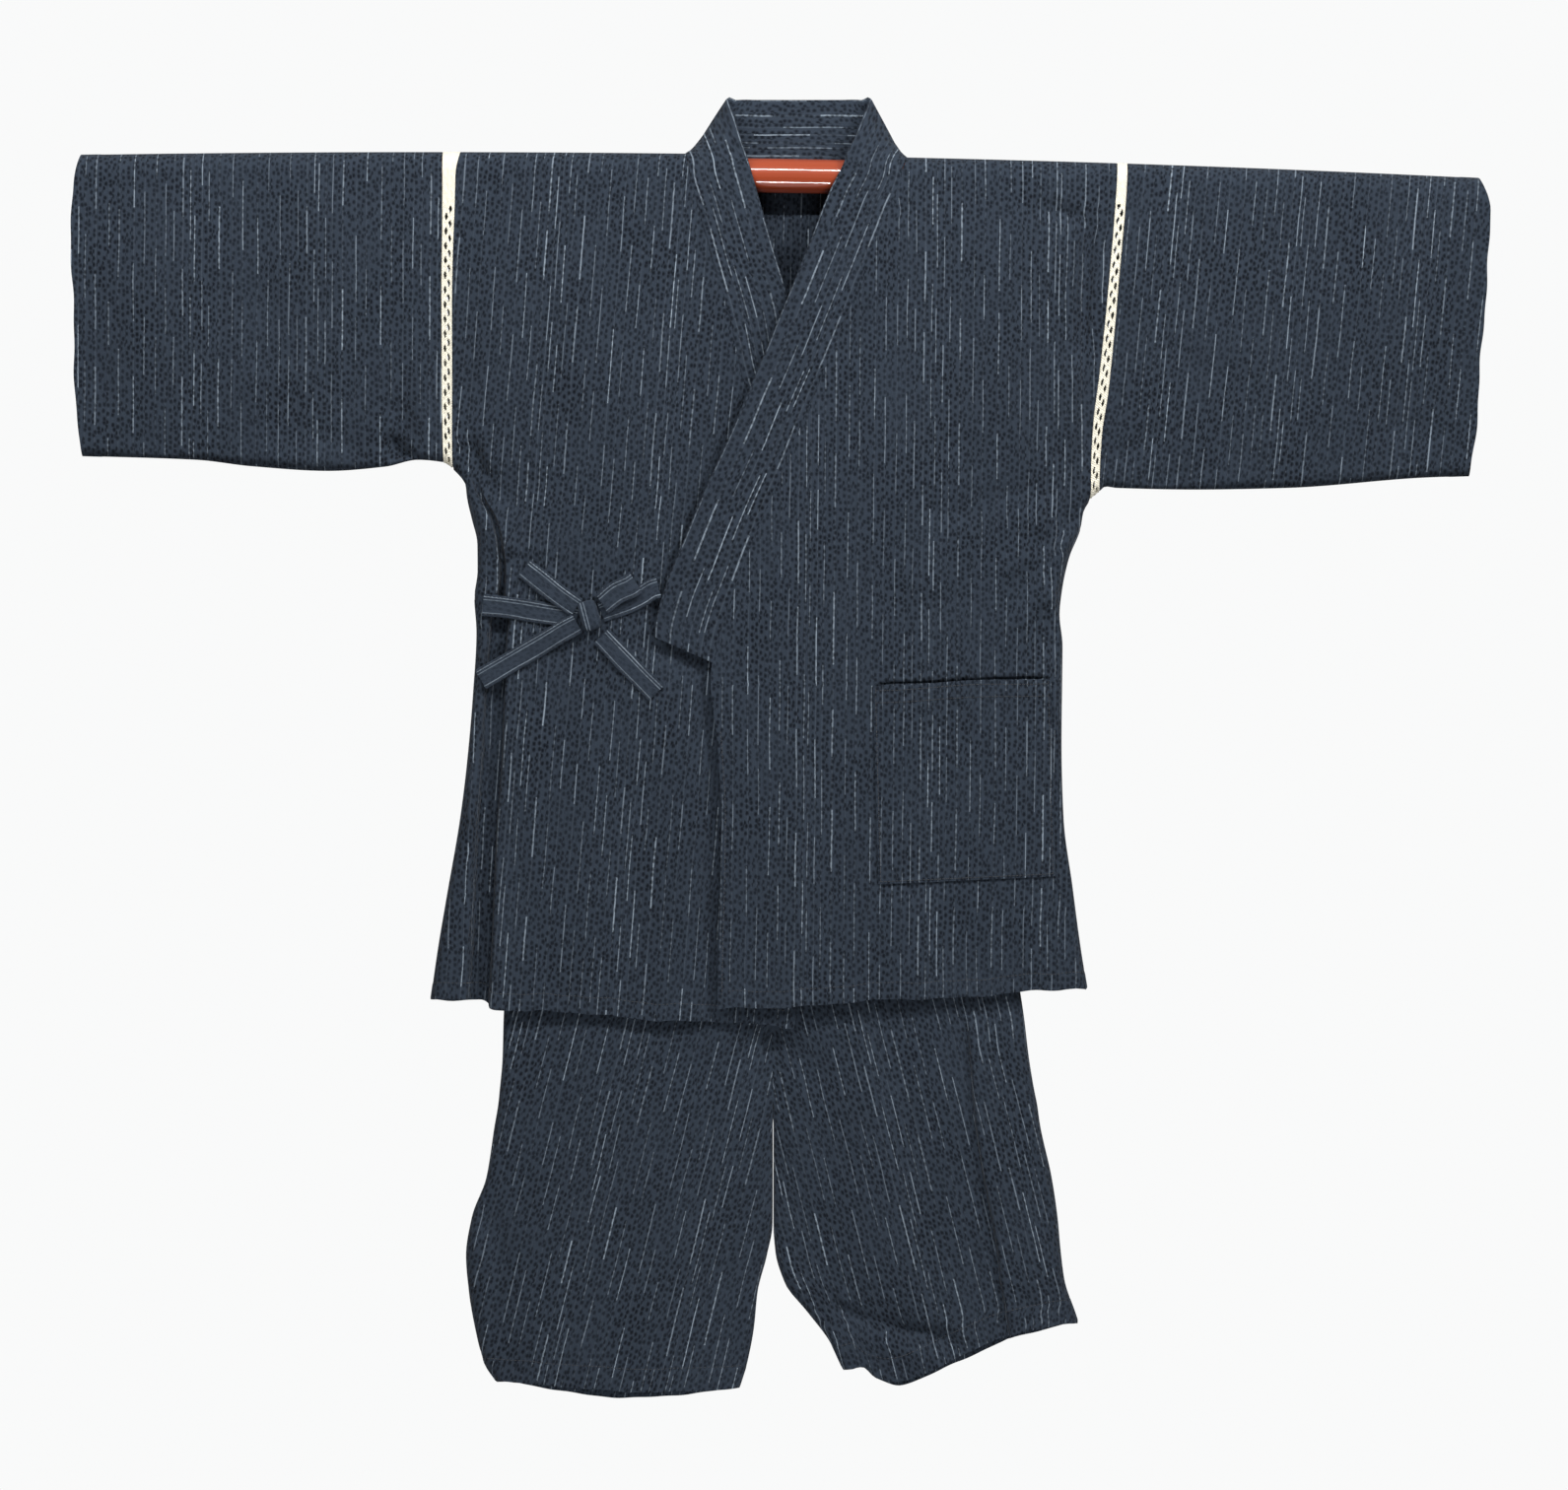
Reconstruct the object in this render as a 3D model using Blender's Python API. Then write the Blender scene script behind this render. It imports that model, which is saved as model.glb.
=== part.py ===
"""A man's jinbei set hung on a lacquered rod: a wrap jacket with lace-joined sleeves over wide shorts.

Metres, +Z up. The front faces -Y and the wearer's right side is at -X. The origin is on the rod's
axis at its middle, where the neck of the jacket leaves the rod bare. Every cloth piece is a sheet
through the middle of its wall, and a Solidify gives the wall its thickness.
"""

import math
from collections import namedtuple

import bpy

# Driving sizes.
CLOTH = 0.0015
BAND = 0.0026
TIE = 0.0012
TAPE = 0.0010
LACE = 0.0020
SEAM = 0.0003
ROD_RADIUS = 0.0154
ROD_RIGHT_END = -0.630
ROD_LEFT_END = 0.622
ROD_JOINT = 0.21
ROD_TILT = 0.0168
ROD_BOW = 0.0263
WRAP = ROD_RADIUS + SEAM + TAPE + 0.0007 + CLOTH / 2

# How far the jacket's two walls stand apart: full inside, half at the sides, closed at the fold.
SIDE_SHARE = 0.5
SIDE_REACH = 0.20
SIDE_ROUND = 0.009
BELLY = 0.0035
LAP = 0.0030

# Degrees about the rod, from its ridge. The shoulder seam lies behind the ridge, and the back
# neckline lower still. ROD_ANGLES are a front's rows over the rod, counted forwards.
SHOULDER_ANGLE = 12.0
NECK_ANGLE = 40.0
ROD_ANGLES = (-12.0, 13.5, 39.0, 64.5)

TIE_WIDTH = 0.0168
TAPE_WIDTH = 0.012
TAPE_PLACES = (-0.122, 0.128)

# Jacket fronts, row by row down the cloth: the side edge, a fold line beside it, and the edge
# that is sewn to the collar and runs on down the opening.
FrontRow = namedtuple("FrontRow", "side_x side_z fold_x front_x front_z")
RIGHT_FRONT = (
    FrontRow(-0.2909, 0.018, -0.280, -0.0878, 0.018),
    FrontRow(-0.2944, 0.000, -0.283, -0.0834, 0.000),
    FrontRow(-0.2954, -0.032, -0.284, -0.0745, -0.032),
    FrontRow(-0.2971, -0.076, -0.284, -0.0625, -0.076),
    FrontRow(-0.2980, -0.126, -0.285, -0.0479, -0.126),
    FrontRow(-0.2980, -0.179, -0.285, -0.0364, -0.179),
    FrontRow(-0.2982, -0.223, -0.284, -0.0204, -0.223),
    FrontRow(-0.2982, -0.252, -0.283, -0.0080, -0.252),
    FrontRow(-0.2978, -0.262, -0.281, -0.0038, -0.262),
    FrontRow(-0.2924, -0.269, -0.280, -0.0002, -0.269),
    FrontRow(-0.2862, -0.277, -0.277, 0.0035, -0.277),
    FrontRow(-0.2847, -0.290, -0.272, 0.0089, -0.290),
    FrontRow(-0.2803, -0.309, -0.2610, 0.0160, -0.309),
    FrontRow(-0.2754, -0.331, -0.2553, 0.0239, -0.331),
    FrontRow(-0.2752, -0.356, -0.2530, 0.0320, -0.356),
    FrontRow(-0.2781, -0.380, -0.2542, 0.0390, -0.380),
    FrontRow(-0.2762, -0.410, -0.2560, 0.0468, -0.410),
    FrontRow(-0.2794, -0.467, -0.2588, 0.0488, -0.467),
    FrontRow(-0.2847, -0.528, -0.2614, 0.0417, -0.528),
    FrontRow(-0.2909, -0.578, -0.2652, 0.0355, -0.578),
    FrontRow(-0.3034, -0.651, -0.2686, 0.0257, -0.651),
    FrontRow(-0.3105, -0.693, -0.2703, 0.0195, -0.700),
    FrontRow(-0.3175, -0.741, -0.2728, 0.0098, -0.766),
)
LEFT_FRONT = (
    FrontRow(0.2994, 0.018, 0.276, 0.1100, 0.018),
    FrontRow(0.2985, 0.000, 0.275, 0.1038, 0.000),
    FrontRow(0.2963, -0.032, 0.274, 0.0914, -0.032),
    FrontRow(0.2927, -0.076, 0.273, 0.0745, -0.076),
    FrontRow(0.2883, -0.126, 0.270, 0.0546, -0.126),
    FrontRow(0.2830, -0.179, 0.266, 0.0328, -0.179),
    FrontRow(0.2776, -0.223, 0.262, 0.0142, -0.223),
    FrontRow(0.2756, -0.269, 0.259, -0.0044, -0.269),
    FrontRow(0.2757, -0.281, 0.258, -0.0095, -0.281),
    FrontRow(0.2750, -0.290, 0.256, -0.0134, -0.290),
    FrontRow(0.2690, -0.302, 0.252, -0.0186, -0.302),
    FrontRow(0.2661, -0.318, 0.248, -0.0253, -0.318),
    FrontRow(0.2559, -0.344, 0.240, -0.0355, -0.344),
    FrontRow(0.2498, -0.372, 0.234, -0.0462, -0.372),
    FrontRow(0.2474, -0.395, 0.231, -0.0545, -0.395),
    FrontRow(0.2501, -0.423, 0.232, -0.0621, -0.423),
    FrontRow(0.2498, -0.454, 0.232, -0.0665, -0.454),
    FrontRow(0.2492, -0.511, 0.232, -0.0603, -0.511),
    FrontRow(0.2510, -0.578, 0.233, -0.0568, -0.578),
    FrontRow(0.2590, -0.640, 0.238, -0.0577, -0.640),
    FrontRow(0.2661, -0.693, 0.243, -0.0594, -0.693),
    FrontRow(0.2723, -0.731, 0.248, -0.0603, -0.750),
)
BACK_NECK_X = 0.0115
BACK_HEM_X = -0.0230
BACK_HEM_Z = -0.746
RIGHT_NECK_X = -0.0900
LEFT_NECK_X = 0.1125

# Down the front of each arm: the lace's outer edge and the cuff.
ArmRow = namedtuple("ArmRow", "z lace_x cuff_x")
RIGHT_ARM = (
    ArmRow(0.018, -0.3069, -0.6320),
    ArmRow(-0.010, -0.3067, -0.6386),
    ArmRow(-0.046, -0.3068, -0.6397),
    ArmRow(-0.108, -0.3076, -0.6384),
    ArmRow(-0.197, -0.3076, -0.6366),
    ArmRow(-0.241, -0.3069, -0.6333),
    ArmRow(-0.262, -0.3060, -0.6310),
)
LEFT_ARM = (
    ArmRow(0.018, 0.3087, 0.6240),
    ArmRow(-0.012, 0.3072, 0.6342),
    ArmRow(-0.088, 0.3010, 0.6300),
    ArmRow(-0.152, 0.2954, 0.6262),
    ArmRow(-0.197, 0.2910, 0.6236),
    ArmRow(-0.232, 0.2858, 0.6213),
    ArmRow(-0.267, 0.2838, 0.6170),
    ArmRow(-0.290, 0.2832, 0.6140),
)
# The sleeve's lower fold, from the armpit out to the cuff.
UnderarmRow = namedtuple("UnderarmRow", "x z")
RIGHT_UNDERARM = (
    UnderarmRow(-0.2978, -0.2620),
    UnderarmRow(-0.3060, -0.2572),
    UnderarmRow(-0.3291, -0.2550),
    UnderarmRow(-0.3592, -0.2612),
    UnderarmRow(-0.4100, -0.2650),
    UnderarmRow(-0.4790, -0.2608),
    UnderarmRow(-0.5287, -0.2550),
    UnderarmRow(-0.6320, -0.2515),
)
LEFT_UNDERARM = (
    UnderarmRow(0.2750, -0.2900),
    UnderarmRow(0.2833, -0.2834),
    UnderarmRow(0.2890, -0.2790),
    UnderarmRow(0.2989, -0.2803),
    UnderarmRow(0.3700, -0.2818),
    UnderarmRow(0.4515, -0.2803),
    UnderarmRow(0.5739, -0.2710),
    UnderarmRow(0.6160, -0.2695),
)
SLEEVE_STEPS = 9

# The deep fold beside the right side seam: how far the front dips in along the fold line.
DipRow = namedtuple("DipRow", "z depth width")
SIDE_FOLD = (
    DipRow(-0.262, 0.0000, 0.004),
    DipRow(-0.290, 0.0045, 0.004),
    DipRow(-0.356, 0.0060, 0.004),
    DipRow(-0.400, 0.0085, 0.006),
    DipRow(-0.467, 0.0105, 0.007),
    DipRow(-0.741, 0.0110, 0.009),
)

# Soft folds in the left front: a ridge between two points of the front view.
Fold = namedtuple("Fold", "top_x top_z low_x low_z width height")
LEFT_FOLDS = (
    Fold(0.262, -0.020, 0.256, -0.250, 0.012, 0.0035),
    Fold(0.215, -0.300, 0.262, -0.335, 0.012, 0.0025),
    Fold(0.200, -0.395, 0.245, -0.372, 0.012, 0.0025),
    Fold(0.258, -0.560, 0.258, -0.740, 0.011, 0.0030),
)

# The collar: one folded band. Its seam is a front's edge, taken at these heights, and this is its
# free edge, from the lower end up to the neck on the right and down again on the left.
BandRow = namedtuple("BandRow", "seam_z edge_x edge_z")
RIGHT_BAND = (
    BandRow(-0.4385, 0.1010, -0.4147),
    BandRow(-0.4100, 0.0970, -0.3920),
    BandRow(-0.3800, 0.0896, -0.3630),
    BandRow(-0.3560, 0.0826, -0.3390),
    BandRow(-0.3310, 0.0745, -0.3140),
    BandRow(-0.3090, 0.0666, -0.2920),
    BandRow(-0.2770, 0.0541, -0.2600),
    BandRow(-0.2520, 0.0426, -0.2350),
    BandRow(-0.2230, 0.0302, -0.2060),
    BandRow(-0.1790, 0.0142, -0.1620),
    BandRow(-0.1260, 0.0027, -0.1090),
    BandRow(-0.0760, -0.0120, -0.0590),
    BandRow(-0.0320, -0.0240, -0.0160),
    BandRow(0.0000, -0.0318, 0.0110),
)
LEFT_BAND = (
    BandRow(0.0000, 0.0543, 0.0130),
    BandRow(-0.0320, 0.0417, -0.0125),
    BandRow(-0.0760, 0.0248, -0.0565),
    BandRow(-0.1260, 0.0049, -0.1065),
    BandRow(-0.1790, -0.0169, -0.1595),
    BandRow(-0.2230, -0.0355, -0.2035),
    BandRow(-0.2690, -0.0556, -0.2495),
    BandRow(-0.2900, -0.0650, -0.2700),
    BandRow(-0.3180, -0.0775, -0.2985),
    BandRow(-0.3440, -0.0880, -0.3240),
    BandRow(-0.3720, -0.1000, -0.3525),
    BandRow(-0.3950, -0.1083, -0.3755),
    BandRow(-0.4230, -0.1150, -0.4020),
    BandRow(-0.4380, -0.1158, -0.4156),
)
# Round the neck: the seam's angle about the rod, forward of the ridge, and the band's free edge.
NeckRow = namedtuple("NeckRow", "angle seam_x edge_x edge_y edge_z")
NECK = (
    NeckRow(64.5, -0.0838, -0.0330, -0.0176, 0.0155),
    NeckRow(25.0, -0.0860, -0.0390, -0.0150, 0.0330),
    NeckRow(-2.0, -0.0873, -0.0435, -0.0075, 0.0490),
    NeckRow(-17.0, -0.0848, -0.0475, 0.0025, 0.0610),
    NeckRow(-27.0, -0.0770, -0.0500, 0.0120, 0.0685),
    NeckRow(-32.0, -0.0600, -0.0430, 0.0180, 0.0700),
    NeckRow(-33.4, -0.0330, -0.0220, 0.0200, 0.0703),
    NeckRow(-33.5, 0.0115, 0.0130, 0.0205, 0.0703),
    NeckRow(-33.4, 0.0560, 0.0490, 0.0200, 0.0703),
    NeckRow(-32.0, 0.0830, 0.0700, 0.0180, 0.0700),
    NeckRow(-27.0, 0.1000, 0.0765, 0.0120, 0.0685),
    NeckRow(-17.0, 0.1070, 0.0735, 0.0025, 0.0600),
    NeckRow(-2.0, 0.1095, 0.0690, -0.0075, 0.0480),
    NeckRow(25.0, 0.1078, 0.0630, -0.0150, 0.0330),
    NeckRow(64.5, 0.1046, 0.0560, -0.0176, 0.0175),
)
BAND_SPREAD = (0.0, 0.35, 0.7, 1.0)
NECK_GAP = 0.0006
ARMHOLE_GAP = 0.0014

# The pocket on the left front, corner by corner, and how far its mouth gapes.
Corner = namedtuple("Corner", "x z")
POCKET = (Corner(0.0798, -0.459), Corner(0.2395, -0.452), Corner(0.0847, -0.637), Corner(0.2439, -0.630))
POCKET_GAPE = 0.0022

# The ties: a row at each place along a strip, with its height over the front.
TieRow = namedtuple("TieRow", "x z height")
SIDE_TIE = (
    TieRow(-0.2705, -0.3865, 0.0008),
    TieRow(-0.2500, -0.3885, 0.0006),
    TieRow(-0.2200, -0.3930, 0.0002),
    TieRow(-0.1860, -0.3985, 0.0002),
)
FRONT_TIE = (
    TieRow(-0.1124, -0.3708, 0.0010),
    TieRow(-0.1180, -0.3725, 0.0014),
    TieRow(-0.1260, -0.3775, 0.0006),
    TieRow(-0.1640, -0.3935, 0.0002),
)
UPPER_END = (
    TieRow(-0.2330, -0.3535, 0.0006),
    TieRow(-0.2200, -0.3640, 0.0016),
    TieRow(-0.2020, -0.3780, 0.0026),
    TieRow(-0.1860, -0.3890, 0.0026),
)
LOWER_RIGHT_END = (
    TieRow(-0.2725, -0.4535, 0.0006),
    TieRow(-0.2500, -0.4405, 0.0004),
    TieRow(-0.2160, -0.4205, 0.0012),
    TieRow(-0.1990, -0.4105, 0.0024),
    TieRow(-0.1855, -0.4030, 0.0026),
)
LOWER_LEFT_END = (
    TieRow(-0.1145, -0.4660, 0.0003),
    TieRow(-0.1350, -0.4450, 0.0006),
    TieRow(-0.1530, -0.4260, 0.0010),
    TieRow(-0.1640, -0.4145, 0.0012),
)
TIE_LOOP = (
    TieRow(-0.1630, -0.3860, 0.0046),
    TieRow(-0.1500, -0.3755, 0.0050),
    TieRow(-0.1400, -0.3672, 0.0046),
    TieRow(-0.1372, -0.3649, 0.0034),
    TieRow(-0.1400, -0.3672, 0.0022),
    TieRow(-0.1500, -0.3755, 0.0020),
    TieRow(-0.1630, -0.3860, 0.0018),
)
KNOT_X, KNOT_Z = -0.1745, -0.3960
KNOT_HALF_WIDTH, KNOT_HALF_LENGTH, KNOT_HALF_DEPTH = 0.0086, 0.0135, 0.0042
KNOT_LEAN = math.radians(16)

# The shorts, row by row: the outer side, a crease line, and the centre seam or inseam.
LegRow = namedtuple("LegRow", "outer_x outer_z crease_x inner_x inner_z sag")
RIGHT_LEG = (
    LegRow(-0.1889, -0.582, -0.150, -0.0151, -0.582, 0.0),
    LegRow(-0.2093, -0.613, -0.172, -0.0142, -0.613, 0.0),
    LegRow(-0.2300, -0.658, -0.205, -0.0133, -0.658, 0.0),
    LegRow(-0.2430, -0.702, -0.223, -0.0124, -0.702, 0.0),
    LegRow(-0.2515, -0.752, -0.233, -0.0115, -0.752, 0.0),
    LegRow(-0.2528, -0.795, -0.236, -0.0106, -0.795, 0.0),
    LegRow(-0.2555, -0.825, -0.239, -0.0100, -0.825, 0.0),
    LegRow(-0.2565, -0.835, -0.240, -0.0098, -0.835, 0.0),
    LegRow(-0.2599, -0.855, -0.2435, -0.0098, -0.855, 0.0),
    LegRow(-0.2674, -0.902, -0.2515, -0.0098, -0.902, 0.0),
    LegRow(-0.2803, -0.937, -0.2635, -0.0100, -0.942, 0.0),
    LegRow(-0.2856, -0.972, -0.2672, -0.0151, -0.971, 0.0),
    LegRow(-0.2830, -1.004, -0.2665, -0.0235, -1.004, 0.0),
    LegRow(-0.2776, -1.036, -0.2610, -0.0266, -1.035, 0.0),
    LegRow(-0.2696, -1.066, -0.2545, -0.0319, -1.064, 0.003),
    LegRow(-0.2581, -1.084, -0.2425, -0.0399, -1.091, 0.004),
)
LEFT_LEG = (
    LegRow(0.1588, -0.582, 0.120, -0.0151, -0.582, 0.0),
    LegRow(0.1765, -0.613, 0.128, -0.0142, -0.613, 0.0),
    LegRow(0.1916, -0.658, 0.140, -0.0133, -0.658, 0.0),
    LegRow(0.2058, -0.702, 0.153, -0.0124, -0.702, 0.0),
    LegRow(0.2147, -0.752, 0.166, -0.0115, -0.752, 0.0),
    LegRow(0.2200, -0.795, 0.170, -0.0106, -0.795, 0.0),
    LegRow(0.2250, -0.825, 0.172, -0.0100, -0.825, 0.0),
    LegRow(0.2271, -0.835, 0.173, -0.0098, -0.835, 0.0),
    LegRow(0.2300, -0.855, 0.175, -0.0098, -0.855, 0.0),
    LegRow(0.2404, -0.902, 0.182, -0.0098, -0.902, 0.0),
    LegRow(0.2457, -0.938, 0.189, -0.0098, -0.942, 0.0),
    LegRow(0.2484, -0.967, 0.194, -0.0080, -0.968, 0.0),
    LegRow(0.2519, -0.994, 0.197, 0.0009, -0.998, 0.006),
    LegRow(0.2572, -1.011, 0.200, 0.0239, -1.024, 0.011),
    LegRow(0.2608, -1.021, 0.202, 0.0390, -1.048, 0.014),
    LegRow(0.2634, -1.031, 0.205, 0.0585, -1.073, 0.016),
)
INSEAM_START = 7
INSEAM_GAP = 0.0012
BACK_HEM_DROP = 0.009
LEG_SIDE_SHARE = 0.5
LEG_SIDE_REACH = 0.10
LEG_ROUND = 0.008
PLEAT_RISE, PLEAT_SHARP, PLEAT_SOFT = 0.0075, 0.0025, 0.045
GATHER = 0.0016
LegDepth = namedtuple("LegDepth", "z depth")
LEG_DEPTHS = (
    LegDepth(-0.582, 0.0108),
    LegDepth(-0.700, 0.0118),
    LegDepth(-0.770, 0.0130),
    LegDepth(-0.860, 0.0175),
    LegDepth(-1.100, 0.0195),
)
# The drag fold that runs in from the left leg's inseam, low on the front and plainer on the back.
LEG_FOLDS = (
    Fold(0.034, -0.992, 0.150, -1.052, 0.012, -0.0042),
    Fold(0.050, -1.020, 0.140, -1.072, 0.016, 0.0045),
)

WAIST_TOP = -0.547
WAIST_LOW = -0.5815
WAIST_GATHERS = 32
WAIST_POINTS = 4

NAVY = (0.030, 0.036, 0.050)
CREAM = (0.86, 0.80, 0.62)
LACQUER = (0.42, 0.060, 0.022)
UNDYED = (0.70, 0.68, 0.62)


def mix(a, b, t):
    return a + (b - a) * t


def ease(t):
    t = min(max(t, 0.0), 1.0)
    return t * t * (3 - 2 * t)


def along(rows, key, x, value):
    """The table's column `value` where its column `key` is x, straight between the rows."""
    rows = sorted(rows, key=lambda row: getattr(row, key))
    if x <= getattr(rows[0], key):
        return getattr(rows[0], value)
    for low, high in zip(rows, rows[1:]):
        a, b = getattr(low, key), getattr(high, key)
        if x <= b:
            return mix(getattr(low, value), getattr(high, value), (x - a) / (b - a))
    return getattr(rows[-1], value)


def axis_z(x):
    """The rod's axis: it leans and bows a little, down towards the wearer's left."""
    return -ROD_TILT * x - ROD_BOW * x * x


def to_segment(x, z, start, end):
    """Distance from (x, z) to a straight stretch, and how far along it the nearest point is, 0 to 1."""
    dx, dz = end[0] - start[0], end[1] - start[1]
    t = ((x - start[0]) * dx + (z - start[1]) * dz) / (dx * dx + dz * dz)
    t = min(max(t, 0.0), 1.0)
    return math.hypot(x - start[0] - dx * t, z - start[1] - dz * t), t


def to_path(x, z, path):
    return min(to_segment(x, z, a, b)[0] for a, b in zip(path, path[1:]))


def closing(distance, share, reach, round_size):
    """Half the space between two walls, as a share of the full one, at a distance from where they join."""
    round_part = 1 - min(distance / round_size, 1.0)
    return mix(share, 1.0, ease(distance / reach)) * math.sqrt(max(1 - round_part ** 2, 0.0))


RIGHT_SIDE = [(row.side_x, row.side_z) for row in RIGHT_FRONT if row.side_z < -0.26]
LEFT_SIDE = [(row.side_x, row.side_z) for row in LEFT_FRONT if row.side_z < -0.285]


def jacket_depth(x, z):
    """Half the jacket's depth, to the middle of its wall, where it hangs below the rod."""
    side = RIGHT_SIDE if x < 0 else LEFT_SIDE
    full = WRAP + BELLY * ease((-z - 0.30) / 0.30)
    return full * closing(to_path(x, z, side), SIDE_SHARE, SIDE_REACH, SIDE_ROUND)


def side_fold(x, z):
    fold_x = along(RIGHT_FRONT, "side_z", z, "fold_x")
    width = along(SIDE_FOLD, "z", z, "width")
    return along(SIDE_FOLD, "z", z, "depth") * math.exp(-(((x - fold_x) / width) ** 2))


def ridges(folds, x, z):
    """The height of soft folds, each fading towards its ends."""
    height = 0.0
    for fold in folds:
        start, end = (fold.top_x, fold.top_z), (fold.low_x, fold.low_z)
        distance, t = to_segment(x, z, start, end)
        fade = ease(t / 0.2) * ease((1 - t) / 0.2)
        height += fold.height * fade * math.exp(-((distance / fold.width) ** 2))
    return height


def lap(x, z):
    """How far the left front lies over the right one: nothing at the shoulder, armhole and side."""
    side_x = along(LEFT_FRONT, "side_z", z, "side_x")
    return LAP * ease(-z / 0.08) * ease((side_x - x) / 0.10)


def right_front_depth(x, z):
    return jacket_depth(x, z) - side_fold(x, z)


def left_front_depth(x, z):
    return jacket_depth(x, z) + lap(x, z) + ridges(LEFT_FOLDS, x, z)


def smooth_front_depth(x, z):
    """The right front without its deep side fold, for what is stretched over it."""
    return jacket_depth(min(max(x, -0.262), -0.02), z)


def moved_out(depth, x, z, height):
    """A point over a front wall, moved out from the wall's middle along its own normal."""
    step = 0.001
    slope_x = (depth(x + step, z) - depth(x - step, z)) / (2 * step)
    slope_z = (depth(x, z + step) - depth(x, z - step)) / (2 * step)
    length = math.sqrt(1 + slope_x ** 2 + slope_z ** 2)
    return (
        x + slope_x * height / length,
        -(depth(x, z) + height / length),
        z + slope_z * height / length,
    )


def eased(count):
    """Fractions close together at their start, for a wall that turns in towards a seam."""
    return [1 - math.cos(math.pi / 2 * i / count) for i in range(count)]


def even(count):
    return [i / count for i in range(count)]


def mirrored(fractions):
    return sorted(1 - fraction for fraction in fractions)


def spread(stops, spacings):
    """Points of one row: between each two stops, at the fractions given for that stretch."""
    points = []
    for (x0, z0), (x1, z1), fractions in zip(stops, stops[1:], spacings):
        points += [(mix(x0, x1, t), mix(z0, z1, t)) for t in fractions if t < 1]
    return points + [stops[-1]]


def finish(name, colour, roughness, coat=0.0):
    material = bpy.data.materials.new(name + "_finish")
    material.use_nodes = True
    shader = material.node_tree.nodes["Principled BSDF"]
    shader.inputs["Base Color"].default_value = (*colour, 1)
    shader.inputs["Roughness"].default_value = roughness
    shader.inputs["Metallic"].default_value = 0.0
    shader.inputs["Coat Weight"].default_value = coat
    material.diffuse_color = (*colour, 1)
    return material


def add_object(name, points, faces, material):
    mesh = bpy.data.meshes.new(name)
    mesh.from_pydata(points, [], faces)
    mesh.validate()
    mesh.update()
    obj = bpy.data.objects.new(name, mesh)
    obj.data.materials.append(material)
    bpy.context.scene.collection.objects.link(obj)
    obj.data.shade_smooth()
    obj.data.set_sharp_from_angle(angle=math.radians(50))
    return obj


def add_sheet(name, rows, thickness, material):
    """A cloth wall of this thickness about a grid of points."""
    columns = len(rows[0])
    points = [point for row in rows for point in row]
    faces = []
    for i in range(len(rows) - 1):
        for j in range(columns - 1):
            a = i * columns + j
            faces.append((a, a + 1, a + columns + 1, a + columns))
    obj = add_object(name, points, faces, material)
    wall = obj.modifiers.new("Wall", "SOLIDIFY")
    wall.thickness = thickness
    wall.offset = 0
    wall.use_even_offset = True
    wall.use_rim = True
    return obj


def over_rod(x, angle, facing):
    """A point of the cloth where it wraps the rod; facing is -1 for the front and 1 for the back."""
    turn = math.radians(angle)
    return (x, facing * WRAP * math.sin(turn), axis_z(x) + WRAP * math.cos(turn))


def hang_z(x, z):
    """Rows near the rod follow its lean, which fades further down."""
    return z + axis_z(x) * (1 - ease(-z / 0.25))


def seam_side(depth):
    """A wall that ends in a seam with its mirror stops half the seam's gap short of it."""
    return max(depth, SEAM)


def jacket_panel(name, stops_of, table, spacings, depth, facing, first_angle):
    """A front or back: arcs over the rod, then rows that hang. stops_of gives a row's main lines."""
    top, level = stops_of(table[0]), stops_of(table[1])
    rows = []
    for step in range(len(ROD_ANGLES)):
        share = 1 - math.cos(math.radians(max(ROD_ANGLES[step], 0.0)))
        stops = [(mix(a[0], b[0], share), 0.0) for a, b in zip(top, level)]
        row = []
        for x, _ in spread(stops, spacings):
            start = first_angle(x)
            angle = mix(start, 90, step / len(ROD_ANGLES))
            row.append(over_rod(x, angle, facing))
        rows.append(row)
    for entry in table[1:]:
        row = []
        for x, z in spread(stops_of(entry), spacings):
            z = hang_z(x, z)
            row.append((x, facing * seam_side(depth(x, z)), z))
        rows.append(row)
    return add_sheet(name, rows, CLOTH, finish(name, NAVY, 0.85))


def add_fronts():
    def right_stops(row):
        beyond = row.fold_x + 0.013
        inner = row.side_x + min(SIDE_ROUND, 0.6 * (row.fold_x - row.side_x))
        return [
            (row.side_x, row.side_z),
            (inner, row.side_z),
            (row.fold_x, row.side_z),
            (beyond, row.side_z),
            (row.front_x - NECK_GAP, row.front_z),
        ]

    def left_stops(row):
        inner = row.side_x - SIDE_ROUND
        return [
            (row.front_x + NECK_GAP, row.front_z),
            (row.fold_x, mix(row.side_z, row.front_z, 0.1)),
            (inner, row.side_z),
            (row.side_x, row.side_z),
        ]

    def front_start(x):
        return -SHOULDER_ANGLE

    right_spacing = (eased(3), even(1), even(2), even(8))
    left_spacing = (even(9), even(1), mirrored(eased(3)))
    jacket_panel("right_front", right_stops, RIGHT_FRONT, right_spacing, right_front_depth, -1, front_start)
    jacket_panel("left_front", left_stops, LEFT_FRONT, left_spacing, left_front_depth, -1, front_start)


def back_start(x):
    """Where the back begins behind the ridge: at the shoulder seam, or lower along the neckline."""
    inward = (x - RIGHT_NECK_X) if x < BACK_NECK_X else (LEFT_NECK_X - x)
    neck = mix(SHOULDER_ANGLE + 1.6, 30.0, ease(inward / 0.010))
    return mix(neck, NECK_ANGLE, ease((inward - 0.008) / 0.020))


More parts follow.
